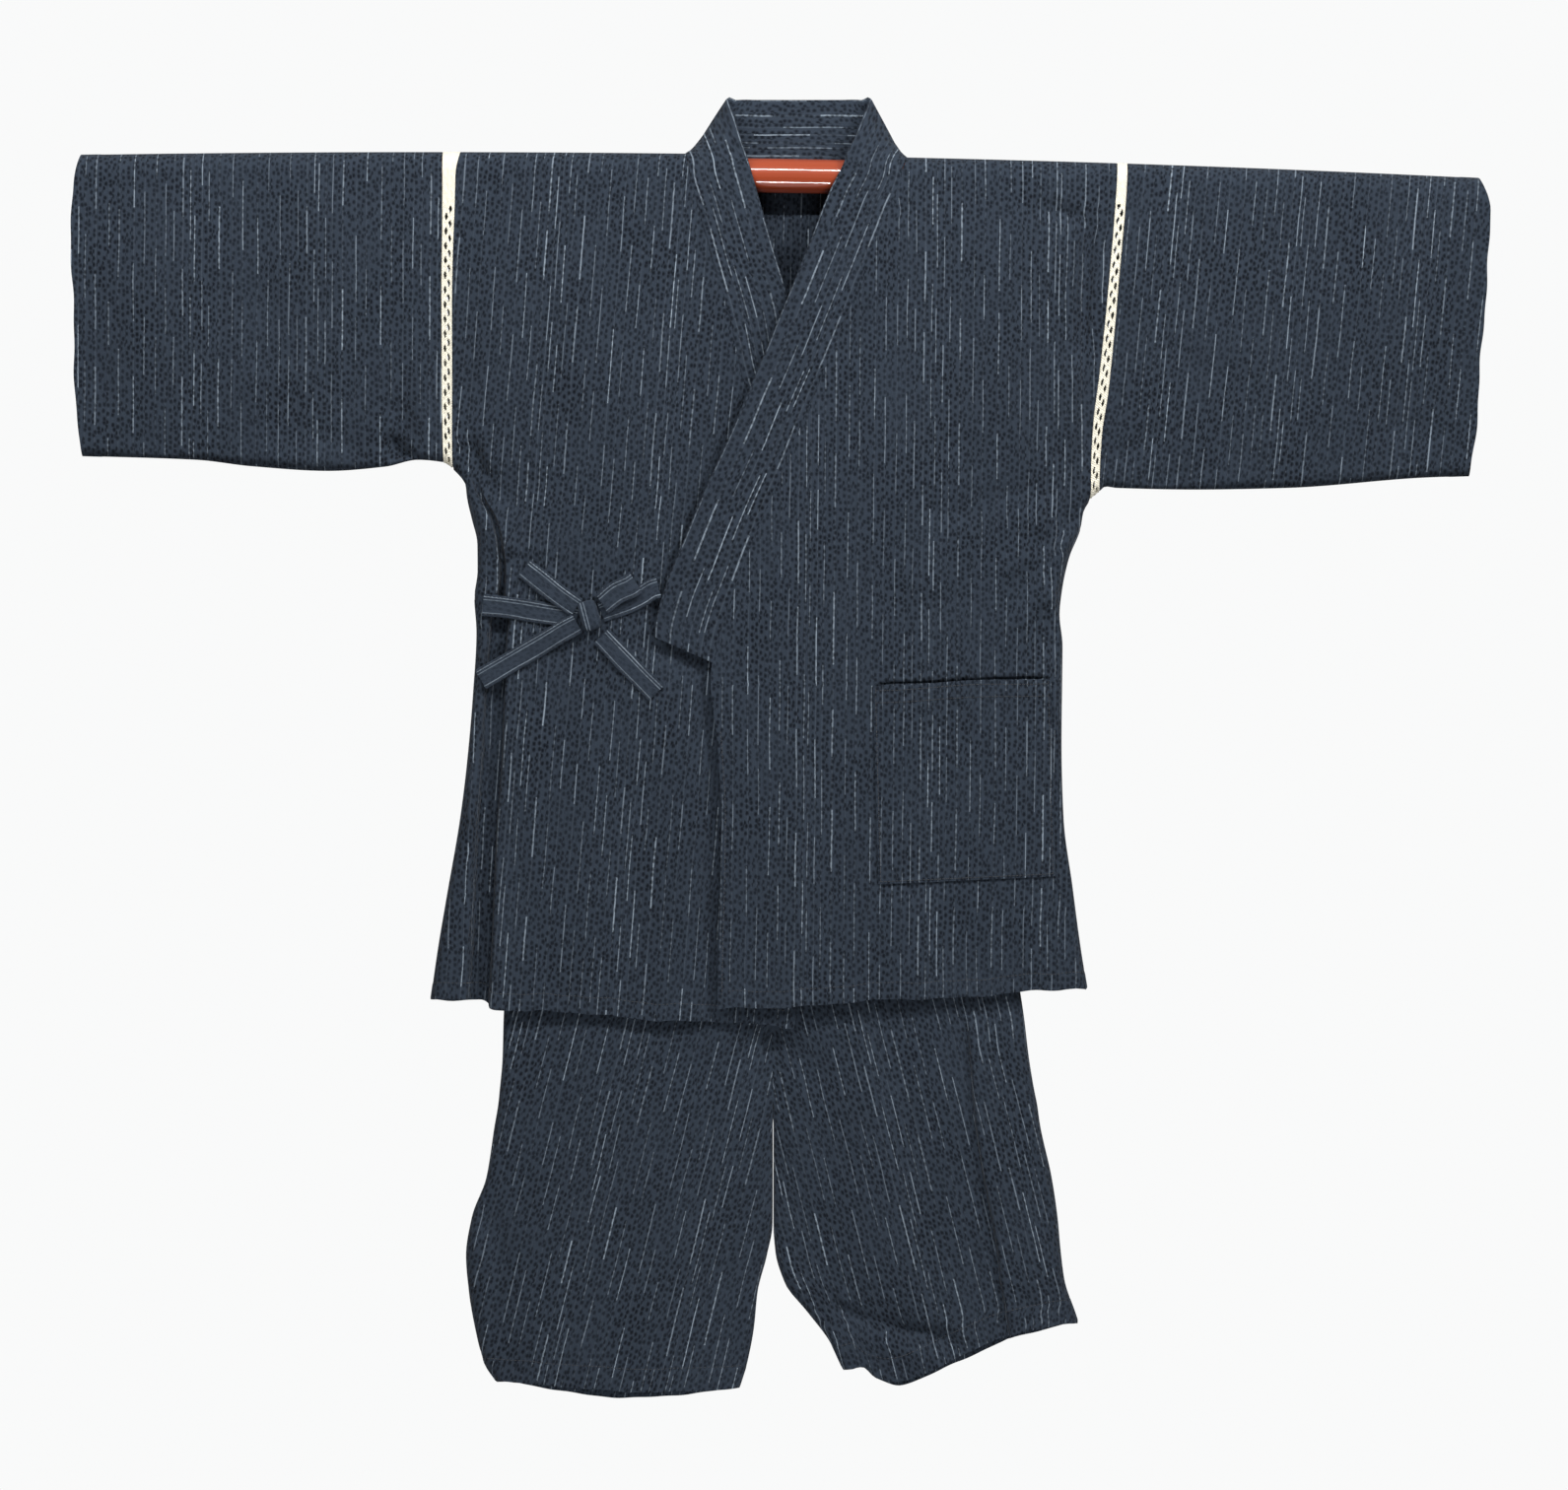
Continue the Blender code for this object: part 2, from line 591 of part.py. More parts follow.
def add_backs():
    def centre_x(z):
        return mix(BACK_NECK_X, BACK_HEM_X, min(max(-z / 0.75, 0.0), 1.0))

    def stops_of(inward, neck_x, low_z):
        def stops(row):
            centre = centre_x(row.side_z)
            centre_z = row.side_z * BACK_HEM_Z / low_z
            fade = ease(-row.side_z / 0.5)
            return [
                (row.side_x, row.side_z),
                (row.side_x + inward * SIDE_ROUND, row.side_z),
                (mix(neck_x, mix(row.side_x, centre, 0.65), fade), mix(row.side_z, centre_z, 0.65)),
                (centre - inward * SEAM, centre_z),
            ]

        return stops

    spacing = (eased(3), even(5), eased(4))
    right = stops_of(1, RIGHT_NECK_X, RIGHT_FRONT[-1].side_z)
    left = stops_of(-1, LEFT_NECK_X, LEFT_FRONT[-1].side_z)
    jacket_panel("right_back", right, RIGHT_FRONT, spacing, jacket_depth, 1, back_start)
    jacket_panel("left_back", left, LEFT_FRONT, spacing, jacket_depth, 1, back_start)


def arm_ring(x, x_at, underarm):
    """One ring round the rod and the arm's hollow: from the underarm seam up the front, down the back."""
    low = along(underarm, "x", x, "z")
    heights = [low + SIDE_ROUND * t for t in eased(4)] + [mix(low + SIDE_ROUND, 0.0, t) for t in even(4)]
    wall = []
    for z in heights:
        depth = WRAP * closing(z - low, SIDE_SHARE, SIDE_REACH, SIDE_ROUND)
        px = x_at(z)
        wall.append((px, seam_side(depth), hang_z(px, z)))
    front = [(px, -depth, z) for px, depth, z in wall]
    arc = []
    for angle in (90, 64.5, 39, 13.5, -12, -37.5, -64, -90):
        arc.append(over_rod(x_at(WRAP * math.cos(math.radians(angle))), angle, -1))
    return front + arc + list(reversed(wall))


def add_arm(side, arm, front, underarm, outward):
    """The sleeve and the lace that joins it to the armhole."""

    def armhole_x(z):
        return along(front, "side_z", z, "side_x") + outward * ARMHOLE_GAP

    def lace_x(z):
        return along(arm, "z", z, "lace_x")

    def sleeve_x(z):
        return lace_x(z) + outward * 2 * SEAM

    def cuff_x(z):
        return along(arm, "z", z, "cuff_x")

    low = arm[-1].z
    lace_rings = [arm_ring(x_at(low), x_at, underarm) for x_at in (armhole_x, lace_x)]
    add_sheet(side + "_lace", lace_rings, LACE, finish(side + "_lace", CREAM, 0.75))

    sleeve_rings = []
    for step in range(SLEEVE_STEPS + 1):
        share = step / SLEEVE_STEPS

        def ring_x(z, share=share):
            return mix(sleeve_x(z), cuff_x(z), share)

        sleeve_rings.append(arm_ring(ring_x(low), ring_x, underarm))
    add_sheet(side + "_sleeve", sleeve_rings, CLOTH, finish(side + "_sleeve", NAVY, 0.85))


def add_collar():
    """One band from the right front's lower end up, round the back of the neck and down the left front."""

    def on_front(row, table, depth):
        stations = []
        seam_x = along(table, "front_z", row.seam_z, "front_x")
        for t in BAND_SPREAD:
            x, z = mix(seam_x, row.edge_x, t), mix(row.seam_z, row.edge_z, t)
            z = hang_z(x, z)
            stations.append((x, -depth(x, z), z))
        return stations

    def under_depth(x, z):
        return jacket_depth(x, min(z, 0.0))

    def outer_depth(x, z):
        return jacket_depth(x, min(z, 0.0)) + lap(x, min(z, 0.0))

    rows = [on_front(row, RIGHT_FRONT, under_depth) for row in RIGHT_BAND]
    for row in NECK:
        turn = math.radians(row.angle)
        radius = WRAP + SEAM
        seam = (row.seam_x, -radius * math.sin(turn), axis_z(row.seam_x) + radius * math.cos(turn))
        edge = (row.edge_x, row.edge_y, row.edge_z)
        rows.append([tuple(mix(a, b, t) for a, b in zip(seam, edge)) for t in BAND_SPREAD])
    rows += [on_front(row, LEFT_FRONT, outer_depth) for row in LEFT_BAND]
    add_sheet("collar", rows, BAND, finish("collar", NAVY, 0.85))


def add_pocket():
    top_right, top_left, low_right, low_left = POCKET
    rows = []
    for v in even(6) + [1.0]:
        row = []
        for u in even(8) + [1.0]:
            x = mix(mix(top_right.x, top_left.x, u), mix(low_right.x, low_left.x, u), v)
            z = mix(mix(top_right.z, top_left.z, u), mix(low_right.z, low_left.z, u), v)
            gape = POCKET_GAPE * math.sin(math.pi * u) ** 2 * ease(1 - v / 0.25)
            row.append(moved_out(left_front_depth, x, z, CLOTH + 2 * SEAM + gape))
        rows.append(row)
    add_sheet("pocket", rows, CLOTH, finish("pocket", NAVY, 0.85))


def strip_rows(table, base):
    """Edge points of a flat strip along a table of places, at each place's height over the front."""
    rows = []
    for i, place in enumerate(table):
        before, after = table[max(i - 1, 0)], table[min(i + 1, len(table) - 1)]
        dx, dz = after.x - before.x, after.z - before.z
        if math.hypot(dx, dz) < 1e-6:
            dx, dz = place.x - table[0].x, place.z - table[0].z
        length = math.hypot(dx, dz)
        across = (-dz / length, dx / length)
        if across[1] < 0:
            across = (-across[0], -across[1])
        row = []
        for share in (-0.5, 0.0, 0.5):
            x = place.x + across[0] * TIE_WIDTH * share
            z = place.z + across[1] * TIE_WIDTH * share
            row.append((x, -(smooth_front_depth(x, z) + base + place.height), z))
        rows.append(row)
    return rows


def add_ties():
    base = CLOTH / 2 + SEAM + TIE / 2
    strips = (
        ("side_tie", SIDE_TIE),
        ("front_tie", FRONT_TIE),
        ("upper_tie_end", UPPER_END),
        ("lower_right_tie_end", LOWER_RIGHT_END),
        ("lower_left_tie_end", LOWER_LEFT_END),
        ("tie_loop", TIE_LOOP),
    )
    for name, table in strips:
        add_sheet(name, strip_rows(table, base), TIE, finish(name, NAVY, 0.85))

    def rounded(value, power):
        return math.copysign(abs(value) ** power, value)

    points = []
    faces = []
    rings, sides = 6, 14
    centre_y = -(smooth_front_depth(KNOT_X, KNOT_Z) + CLOTH / 2 + SEAM + KNOT_HALF_DEPTH)
    for i in range(rings + 1):
        latitude = math.pi * (i / rings - 0.5)
        for j in range(sides):
            turn = 2 * math.pi * j / sides
            wide = KNOT_HALF_WIDTH * rounded(math.cos(turn), 0.6) * math.cos(latitude) ** 0.5
            long = KNOT_HALF_LENGTH * rounded(math.sin(turn), 0.6) * math.cos(latitude) ** 0.5
            x = wide * math.cos(KNOT_LEAN) - long * math.sin(KNOT_LEAN)
            z = wide * math.sin(KNOT_LEAN) + long * math.cos(KNOT_LEAN)
            y = -KNOT_HALF_DEPTH * rounded(math.sin(latitude), 0.8)
            if i in (0, rings):
                x, z = 0.25 * x, 0.25 * z
            points.append((KNOT_X + x, centre_y + y, KNOT_Z + z))
    for i in range(rings):
        for j in range(sides):
            a, b = i * sides + j, i * sides + (j + 1) % sides
            faces.append((a, b, b + sides, a + sides))
    faces.append(tuple(reversed(range(sides))))
    faces.append(tuple(range(rings * sides, (rings + 1) * sides)))
    add_object("tie_knot", points, faces, finish("tie_knot", NAVY, 0.85))


def leg_path(table):
    """The closed edges of one leg: its outer side, and its inseam below the crotch."""
    outer = [(row.outer_x, row.outer_z) for row in table]
    inseam = [(row.inner_x, row.inner_z) for row in table[INSEAM_START:]]
    return outer, inseam


def leg_depth(table, x, z):
    outer, inseam = leg_path(table)
    distance = min(to_path(x, z, outer), to_path(x, z, inseam))
    return along(LEG_DEPTHS, "z", z, "depth") * closing(distance, LEG_SIDE_SHARE, LEG_SIDE_REACH, LEG_ROUND)


def pleat(x, z):
    """The left leg's pressed pleat: sharp towards the middle, soft towards the side."""
    across = x - along(LEFT_LEG, "outer_z", z, "crease_x")
    width = PLEAT_SHARP if across < 0 else PLEAT_SOFT
    return PLEAT_RISE * ease((-z - 0.74) / 0.05) * math.exp(-((across / width) ** 2))


def add_leg_panel(name, table, inward, facing, hem_drop):
    crease_gap = 0.003
    rows = []
    for index, row in enumerate(table):
        inseam = INSEAM_GAP if index >= INSEAM_START else SEAM
        inner_x = row.inner_x - inward * inseam
        low = hem_drop * ease((-row.outer_z - 0.95) / 0.10)
        z_in = mix(row.outer_z, row.inner_z, 0.15)
        stops = [
            (row.outer_x, row.outer_z),
            (row.outer_x + inward * LEG_ROUND, row.outer_z),
            (row.crease_x, z_in),
            (row.crease_x + inward * crease_gap, z_in),
            (inner_x - inward * LEG_ROUND, row.inner_z),
            (inner_x, row.inner_z),
        ]
        spacings = (eased(3), even(2), even(1), even(6), mirrored(eased(3)))
        points = spread(stops, spacings)
        line = []
        for column, (x, z) in enumerate(points):
            share = (x - row.crease_x) / (inner_x - row.crease_x)
            share = min(max(share, 0.0), 1.0)
            z -= row.sag * 4 * share * (1 - share)
            across = (x - row.outer_x) / (inner_x - row.outer_x)
            z -= low * math.sin(math.pi * across)
            depth = leg_depth(table, x, z)
            from_edge = min(abs(x - row.outer_x), abs(x - inner_x))
            depth += GATHER * ease((z + 0.68) / 0.09) * ease((from_edge - 0.006) / 0.012) * (-1) ** column
            if table is LEFT_LEG and facing < 0:
                depth += pleat(x, z) * ease(depth / 0.010)
                depth += ridges(LEG_FOLDS, x, z) * ease(depth / 0.010)
            line.append((x, facing * seam_side(depth), z))
        rows.append(line)
    add_sheet(name, rows, CLOTH, finish(name, NAVY, 0.85))


def waist_span():
    """The middle and half the width of the waistband, as it lies across."""
    right_x, left_x = RIGHT_LEG[0].outer_x, LEFT_LEG[0].outer_x
    return (right_x + left_x) / 2, (left_x - right_x) / 2 - CLOTH


def add_waistband():
    """The gathered casing of the elastic, one ring with its seam at the centre back."""
    middle, half = waist_span()
    depth = LEG_DEPTHS[0].depth
    count = WAIST_GATHERS * WAIST_POINTS
    rows = []
    for z, swell in ((WAIST_TOP, 1.0), (WAIST_LOW, 0.7)):
        row = []
        for i in range(count + 1):
            turn = math.pi / 2 + 2 * math.pi * (i / count)
            wave = GATHER * swell * math.cos(2 * math.pi * i / WAIST_POINTS)
            if i in (0, count):
                turn += math.radians(0.12 if i == 0 else -0.12)
            deep = math.copysign(math.sqrt(abs(math.sin(turn))), math.sin(turn))
            row.append((middle + half * math.cos(turn), (depth + wave) * deep, z))
        rows.append(row)
    add_sheet("waistband", rows, CLOTH, finish("waistband", NAVY, 0.85))


def add_tapes():
    """Two plain loops of tape over the rod, from inside the waistband, which carry the shorts."""
    radius = ROD_RADIUS + SEAM + TAPE / 2
    middle, half = waist_span()
    for side, place in zip(("right", "left"), TAPE_PLACES):
        out = (abs(place - middle) + TAPE_WIDTH / 2) / half
        casing = (LEG_DEPTHS[0].depth - GATHER) * (1 - out ** 2) ** 0.25
        inside = casing - CLOTH / 2 - 2 * SEAM - TAPE / 2
        profile = [(-inside, -0.576), (-inside, WAIST_TOP)]
        profile += [(-mix(inside, radius, t), mix(WAIST_TOP, 0.0, t)) for t in (0.33, 0.67)]
        angles = [90 - 15 * i for i in range(13)]
        arc = [(-radius * math.sin(math.radians(a)), radius * math.cos(math.radians(a))) for a in angles]
        profile += arc + [(-y, z) for y, z in reversed(profile)]
        rows = []
        for y, z in profile:
            pair = []
            for x in (place - TAPE_WIDTH / 2, place + TAPE_WIDTH / 2):
                pair.append((x, y, z + axis_z(x) * ease((z + 0.3) / 0.3)))
            rows.append(pair)
        name = side + "_tape"
        add_sheet(name, rows, TAPE, finish(name, UNDYED, 0.8))


def add_rod():
    """A round lacquered pole in three straight lengths that butt together, their faces square to X."""
    sides = 24
    ends = (ROD_RIGHT_END, -ROD_JOINT, ROD_JOINT, ROD_LEFT_END)
    for name, start, end in zip(("rod_right", "rod_middle", "rod_left"), ends, ends[1:]):
        points = []
        for x in (start, end):
            face_x = x + SEAM / 2 * ((x == start) - (x == end)) * (abs(x) == ROD_JOINT)
            for j in range(sides):
                turn = 2 * math.pi * j / sides
                points.append((face_x, ROD_RADIUS * math.cos(turn), axis_z(x) + ROD_RADIUS * math.sin(turn)))
        faces = [(j, (j + 1) % sides, sides + (j + 1) % sides, sides + j) for j in range(sides)]
        faces.append(tuple(reversed(range(sides))))
        faces.append(tuple(range(sides, 2 * sides)))
        add_object(name, points, faces, finish(name, LACQUER, 0.3, coat=0.6))


def main():
    for obj in list(bpy.data.objects):
        bpy.data.objects.remove(obj, do_unlink=True)
    add_rod()
    add_fronts()
    add_backs()
    add_arm("right", RIGHT_ARM, RIGHT_FRONT, RIGHT_UNDERARM, -1)
    add_arm("left", LEFT_ARM, LEFT_FRONT, LEFT_UNDERARM, 1)
    add_collar()
    add_pocket()
    add_ties()
    add_leg_panel("right_leg_front", RIGHT_LEG, 1, -1, 0.0)
    add_leg_panel("right_leg_back", RIGHT_LEG, 1, 1, BACK_HEM_DROP)
    add_leg_panel("left_leg_front", LEFT_LEG, -1, -1, 0.0)
    add_leg_panel("left_leg_back", LEFT_LEG, -1, 1, BACK_HEM_DROP)
    add_waistband()
    add_tapes()


main()
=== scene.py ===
"""The looks of a man's jinbei set on a lacquered rod: cloth shells, open lace, ties, stitches and gloss.

Metres, +Z up. The front faces -Y and the wearer's right side is at -X, as in the solids. The sizes and
tables repeat those of the solids, and every cloth shell follows the wall that it stands for.
"""

import math
from collections import namedtuple

import bpy
import numpy as np
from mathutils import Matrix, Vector


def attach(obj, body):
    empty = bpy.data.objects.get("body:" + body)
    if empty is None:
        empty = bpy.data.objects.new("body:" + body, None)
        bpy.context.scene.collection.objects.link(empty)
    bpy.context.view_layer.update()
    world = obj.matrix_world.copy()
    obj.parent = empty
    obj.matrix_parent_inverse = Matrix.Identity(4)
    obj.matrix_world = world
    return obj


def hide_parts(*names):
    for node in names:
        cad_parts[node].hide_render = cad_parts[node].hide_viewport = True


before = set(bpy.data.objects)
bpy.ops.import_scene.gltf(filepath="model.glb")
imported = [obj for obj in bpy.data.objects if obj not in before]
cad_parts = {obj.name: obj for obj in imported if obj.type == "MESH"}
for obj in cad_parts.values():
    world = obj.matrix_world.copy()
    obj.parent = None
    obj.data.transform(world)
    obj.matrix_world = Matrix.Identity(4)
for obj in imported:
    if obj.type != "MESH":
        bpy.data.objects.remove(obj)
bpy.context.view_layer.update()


def rows(kind, *values):
    """A table: the kind of row, which names its columns, and each row's values."""
    return tuple(kind(*row) for row in values)


# Sizes of the solids.
CLOTH = 0.0015
TIE = 0.0012
TAPE = 0.0010
SEAM = 0.0003
ROD_RADIUS = 0.0154
ROD_RIGHT_END = -0.630
ROD_LEFT_END = 0.622
ROD_JOINT = 0.21
ROD_TILT = 0.0168
ROD_BOW = 0.0263
WRAP = ROD_RADIUS + SEAM + TAPE + 0.0007 + CLOTH / 2

# How far the jacket's two walls stand apart: full inside, half at the sides, closed at the fold.
SIDE_SHARE = 0.5
SIDE_REACH = 0.20
SIDE_ROUND = 0.009
BELLY = 0.0035
LAP = 0.0030

# Degrees about the rod, from its ridge. The shoulder seam lies behind the ridge, and the back
# neckline lower still.
SHOULDER_ANGLE = 12.0
NECK_ANGLE = 40.0

TIE_WIDTH = 0.0196
TAPE_WIDTH = 0.012
TAPE_PLACES = (-0.122, 0.128)

# Jacket fronts, row by row down the cloth: the side edge, a fold line beside it, and the edge
# that is sewn to the collar and runs on down the opening.
FrontRow = namedtuple("FrontRow", "side_x side_z fold_x front_x front_z")
RIGHT_FRONT = rows(
    FrontRow,
    (-0.2909, 0.018, -0.28, -0.0878, 0.018),
    (-0.2944, 0.0, -0.283, -0.0834, 0.0),
    (-0.2954, -0.032, -0.284, -0.0745, -0.032),
    (-0.2971, -0.076, -0.284, -0.0625, -0.076),
    (-0.298, -0.126, -0.285, -0.0479, -0.126),
    (-0.298, -0.179, -0.285, -0.0364, -0.179),
    (-0.2982, -0.223, -0.284, -0.0204, -0.223),
    (-0.2982, -0.252, -0.283, -0.008, -0.252),
    (-0.2978, -0.262, -0.281, -0.0038, -0.262),
    (-0.2924, -0.269, -0.28, -0.0002, -0.269),
    (-0.2862, -0.277, -0.277, 0.0035, -0.277),
    (-0.2847, -0.29, -0.272, 0.0089, -0.29),
    (-0.2803, -0.309, -0.261, 0.016, -0.309),
    (-0.2754, -0.331, -0.2553, 0.0239, -0.331),
    (-0.2752, -0.356, -0.253, 0.032, -0.356),
    (-0.2781, -0.38, -0.2542, 0.039, -0.38),
    (-0.2762, -0.41, -0.256, 0.0468, -0.41),
    (-0.2794, -0.467, -0.2588, 0.0488, -0.467),
    (-0.2847, -0.528, -0.2614, 0.0417, -0.528),
    (-0.2909, -0.578, -0.2652, 0.0355, -0.578),
    (-0.3034, -0.651, -0.2686, 0.0257, -0.651),
    (-0.3105, -0.693, -0.2703, 0.0195, -0.7),
    (-0.3175, -0.741, -0.2728, 0.0098, -0.766),
)
LEFT_FRONT = rows(
    FrontRow,
    (0.2994, 0.018, 0.276, 0.11, 0.018),
    (0.2985, 0.0, 0.275, 0.1038, 0.0),
    (0.2963, -0.032, 0.274, 0.0914, -0.032),
    (0.2927, -0.076, 0.273, 0.0745, -0.076),
    (0.2883, -0.126, 0.27, 0.0546, -0.126),
    (0.283, -0.179, 0.266, 0.0328, -0.179),
    (0.2776, -0.223, 0.262, 0.0142, -0.223),
    (0.2756, -0.269, 0.259, -0.0044, -0.269),
    (0.2757, -0.281, 0.258, -0.0095, -0.281),
    (0.275, -0.29, 0.256, -0.0134, -0.29),
    (0.269, -0.302, 0.252, -0.0186, -0.302),
    (0.2661, -0.318, 0.248, -0.0253, -0.318),
    (0.2559, -0.344, 0.24, -0.0355, -0.344),
    (0.2498, -0.372, 0.234, -0.0462, -0.372),
    (0.2474, -0.395, 0.231, -0.0545, -0.395),
    (0.2501, -0.423, 0.232, -0.0621, -0.423),
    (0.2498, -0.454, 0.232, -0.0665, -0.454),
    (0.2492, -0.511, 0.232, -0.0603, -0.511),
    (0.251, -0.578, 0.233, -0.0568, -0.578),
    (0.259, -0.64, 0.238, -0.0577, -0.64),
    (0.2661, -0.693, 0.243, -0.0594, -0.693),
    (0.2723, -0.731, 0.248, -0.0603, -0.75),
)
BACK_NECK_X = 0.0115
BACK_HEM_X = -0.0230
BACK_HEM_Z = -0.746
RIGHT_NECK_X = -0.0900
LEFT_NECK_X = 0.1125

# Down the front of each arm: the lace's outer edge and the cuff.
ArmRow = namedtuple("ArmRow", "z lace_x cuff_x")
RIGHT_ARM = rows(
    ArmRow,
    (0.018, -0.3069, -0.632),
    (-0.01, -0.3067, -0.6386),
    (-0.046, -0.3068, -0.6397),
    (-0.108, -0.3076, -0.6384),
    (-0.197, -0.3076, -0.6366),
    (-0.241, -0.3069, -0.6333),
    (-0.262, -0.306, -0.631),
)
LEFT_ARM = rows(
    ArmRow,
    (0.018, 0.3087, 0.624),
    (-0.012, 0.3072, 0.6342),
    (-0.088, 0.301, 0.63),
    (-0.152, 0.2954, 0.6262),
    (-0.197, 0.291, 0.6236),
    (-0.232, 0.2858, 0.6213),
    (-0.267, 0.2838, 0.617),
    (-0.29, 0.2832, 0.614),
)
# The sleeve's lower fold, from the armpit out to the cuff.
UnderarmRow = namedtuple("UnderarmRow", "x z")
RIGHT_UNDERARM = rows(
    UnderarmRow,
    (-0.2978, -0.262),
    (-0.306, -0.2572),
    (-0.3291, -0.255),
    (-0.3592, -0.2612),
    (-0.41, -0.265),
    (-0.479, -0.2608),
    (-0.5287, -0.255),
    (-0.632, -0.2515),
)
LEFT_UNDERARM = rows(
    UnderarmRow,
    (0.275, -0.29),
    (0.2833, -0.2834),
    (0.289, -0.279),
    (0.2989, -0.2803),
    (0.37, -0.2818),
    (0.4515, -0.2803),
    (0.5739, -0.271),
    (0.616, -0.2695),
)

# The deep fold beside the right side seam: how far the front dips in along the fold line.
DipRow = namedtuple("DipRow", "z depth width")
SIDE_FOLD = rows(
    DipRow,
    (-0.262, 0.0, 0.003),
    (-0.29, 0.0055, 0.003),
    (-0.356, 0.01, 0.0032),
    (-0.38, 0.0115, 0.0036),
    (-0.4, 0.015, 0.0085),
    (-0.467, 0.018, 0.01),
    (-0.741, 0.018, 0.011),
)

# Soft folds in the left front: a ridge between two points of the front view.
Fold = namedtuple("Fold", "top_x top_z low_x low_z width height")
LEFT_FOLDS = rows(
    Fold,
    (0.262, -0.02, 0.256, -0.25, 0.012, 0.0035),
    (0.215, -0.3, 0.262, -0.335, 0.012, 0.0025),
    (0.2, -0.395, 0.245, -0.372, 0.012, 0.0025),
    (0.258, -0.56, 0.258, -0.74, 0.011, 0.003),
)

# The collar: one folded band. Its seam is a front's edge, taken at these heights, and this is its
# free edge, from the lower end up to the neck on the right and down again on the left.
BandRow = namedtuple("BandRow", "seam_z edge_x edge_z")
RIGHT_BAND = rows(
    BandRow,
    (-0.4385, 0.101, -0.4147),
    (-0.41, 0.097, -0.392),
    (-0.38, 0.0896, -0.363),
    (-0.356, 0.0826, -0.339),
    (-0.331, 0.0745, -0.314),
    (-0.309, 0.0666, -0.292),
    (-0.277, 0.0541, -0.26),
    (-0.252, 0.0426, -0.235),
    (-0.223, 0.0302, -0.206),
    (-0.179, 0.0142, -0.162),
    (-0.126, 0.0027, -0.109),
    (-0.076, -0.012, -0.059),
    (-0.032, -0.024, -0.016),
    (0.0, -0.0318, 0.011),
)
LEFT_BAND = rows(
    BandRow,
    (0.0, 0.0543, 0.013),
    (-0.032, 0.0417, -0.0125),
    (-0.076, 0.0248, -0.0565),
    (-0.126, 0.0049, -0.1065),
    (-0.179, -0.0169, -0.1595),
    (-0.223, -0.0355, -0.2035),
    (-0.269, -0.0556, -0.2495),
    (-0.29, -0.065, -0.27),
    (-0.318, -0.0775, -0.2985),
    (-0.344, -0.088, -0.324),
    (-0.372, -0.1, -0.3525),
    (-0.395, -0.1083, -0.3755),
    (-0.423, -0.115, -0.402),
    (-0.438, -0.1158, -0.4156),
)
# Round the neck: the seam's angle about the rod, forward of the ridge, and the band's free edge.
NeckRow = namedtuple("NeckRow", "angle seam_x edge_x edge_y edge_z")
NECK = rows(
    NeckRow,
    (64.5, -0.0838, -0.033, -0.0176, 0.0155),
    (25.0, -0.086, -0.039, -0.015, 0.033),
    (-2.0, -0.0873, -0.0435, -0.0075, 0.049),
    (-17.0, -0.087, -0.0475, 0.0025, 0.061),
    (-27.0, -0.086, -0.05, 0.012, 0.0685),
    (-32.0, -0.072, -0.043, 0.018, 0.07),
    (-33.4, -0.033, -0.022, 0.02, 0.0703),
    (-33.5, 0.0115, 0.013, 0.0205, 0.0703),
    (-33.4, 0.056, 0.049, 0.02, 0.0703),
    (-32.0, 0.096, 0.07, 0.018, 0.07),
    (-27.0, 0.1085, 0.0765, 0.012, 0.0685),
    (-17.0, 0.1092, 0.0735, 0.0025, 0.06),
    (-2.0, 0.1095, 0.069, -0.0075, 0.048),
    (25.0, 0.1078, 0.063, -0.015, 0.033),
    (64.5, 0.1046, 0.056, -0.0176, 0.0175),
)
NECK_GAP = 0.0006

# The pocket on the left front, corner by corner, and how far its mouth gapes.
Corner = namedtuple("Corner", "x z")
POCKET = rows(Corner, (0.0798, -0.459), (0.2395, -0.452), (0.0847, -0.637), (0.2439, -0.630))
POCKET_GAPE = 0.0022

# The ties: a row at each place along a strip, with its height over the front.
TieRow = namedtuple("TieRow", "x z height")
SIDE_TIE = rows(
    TieRow,
    (-0.2705, -0.3865, 0.0008),
    (-0.25, -0.3885, 0.0006),
    (-0.22, -0.393, 0.0002),
    (-0.186, -0.3985, 0.0002),
)
FRONT_TIE = rows(
    TieRow,
    (-0.1124, -0.3708, 0.001),
    (-0.118, -0.3725, 0.0014),
    (-0.126, -0.3775, 0.0006),
    (-0.164, -0.3935, 0.0002),
)
UPPER_END = rows(
    TieRow,
    (-0.233, -0.3535, 0.0006),
    (-0.22, -0.364, 0.0016),
    (-0.202, -0.378, 0.0026),
    (-0.186, -0.389, 0.0026),
)
LOWER_RIGHT_END = rows(
    TieRow,
    (-0.2725, -0.4535, 0.0006),
    (-0.25, -0.4405, 0.0004),
    (-0.216, -0.4205, 0.0012),
    (-0.199, -0.4105, 0.0024),
    (-0.1855, -0.403, 0.0026),
)
LOWER_LEFT_END = rows(
    TieRow,
    (-0.1145, -0.466, 0.0003),
    (-0.135, -0.445, 0.0006),
    (-0.153, -0.426, 0.001),
    (-0.164, -0.4145, 0.0012),
)
TIE_LOOP = rows(
    TieRow,
    (-0.163, -0.386, 0.0046),
    (-0.15, -0.3755, 0.005),
    (-0.136, -0.369, 0.0046),
    (-0.1334, -0.3669, 0.0034),
    (-0.136, -0.369, 0.0022),
    (-0.15, -0.3755, 0.002),
    (-0.163, -0.386, 0.0018),
)
KNOT_X, KNOT_Z = -0.1745, -0.3960
KNOT_HALF_WIDTH, KNOT_HALF_LENGTH, KNOT_HALF_DEPTH = 0.0086, 0.0135, 0.0042
KNOT_LEAN = math.radians(16)

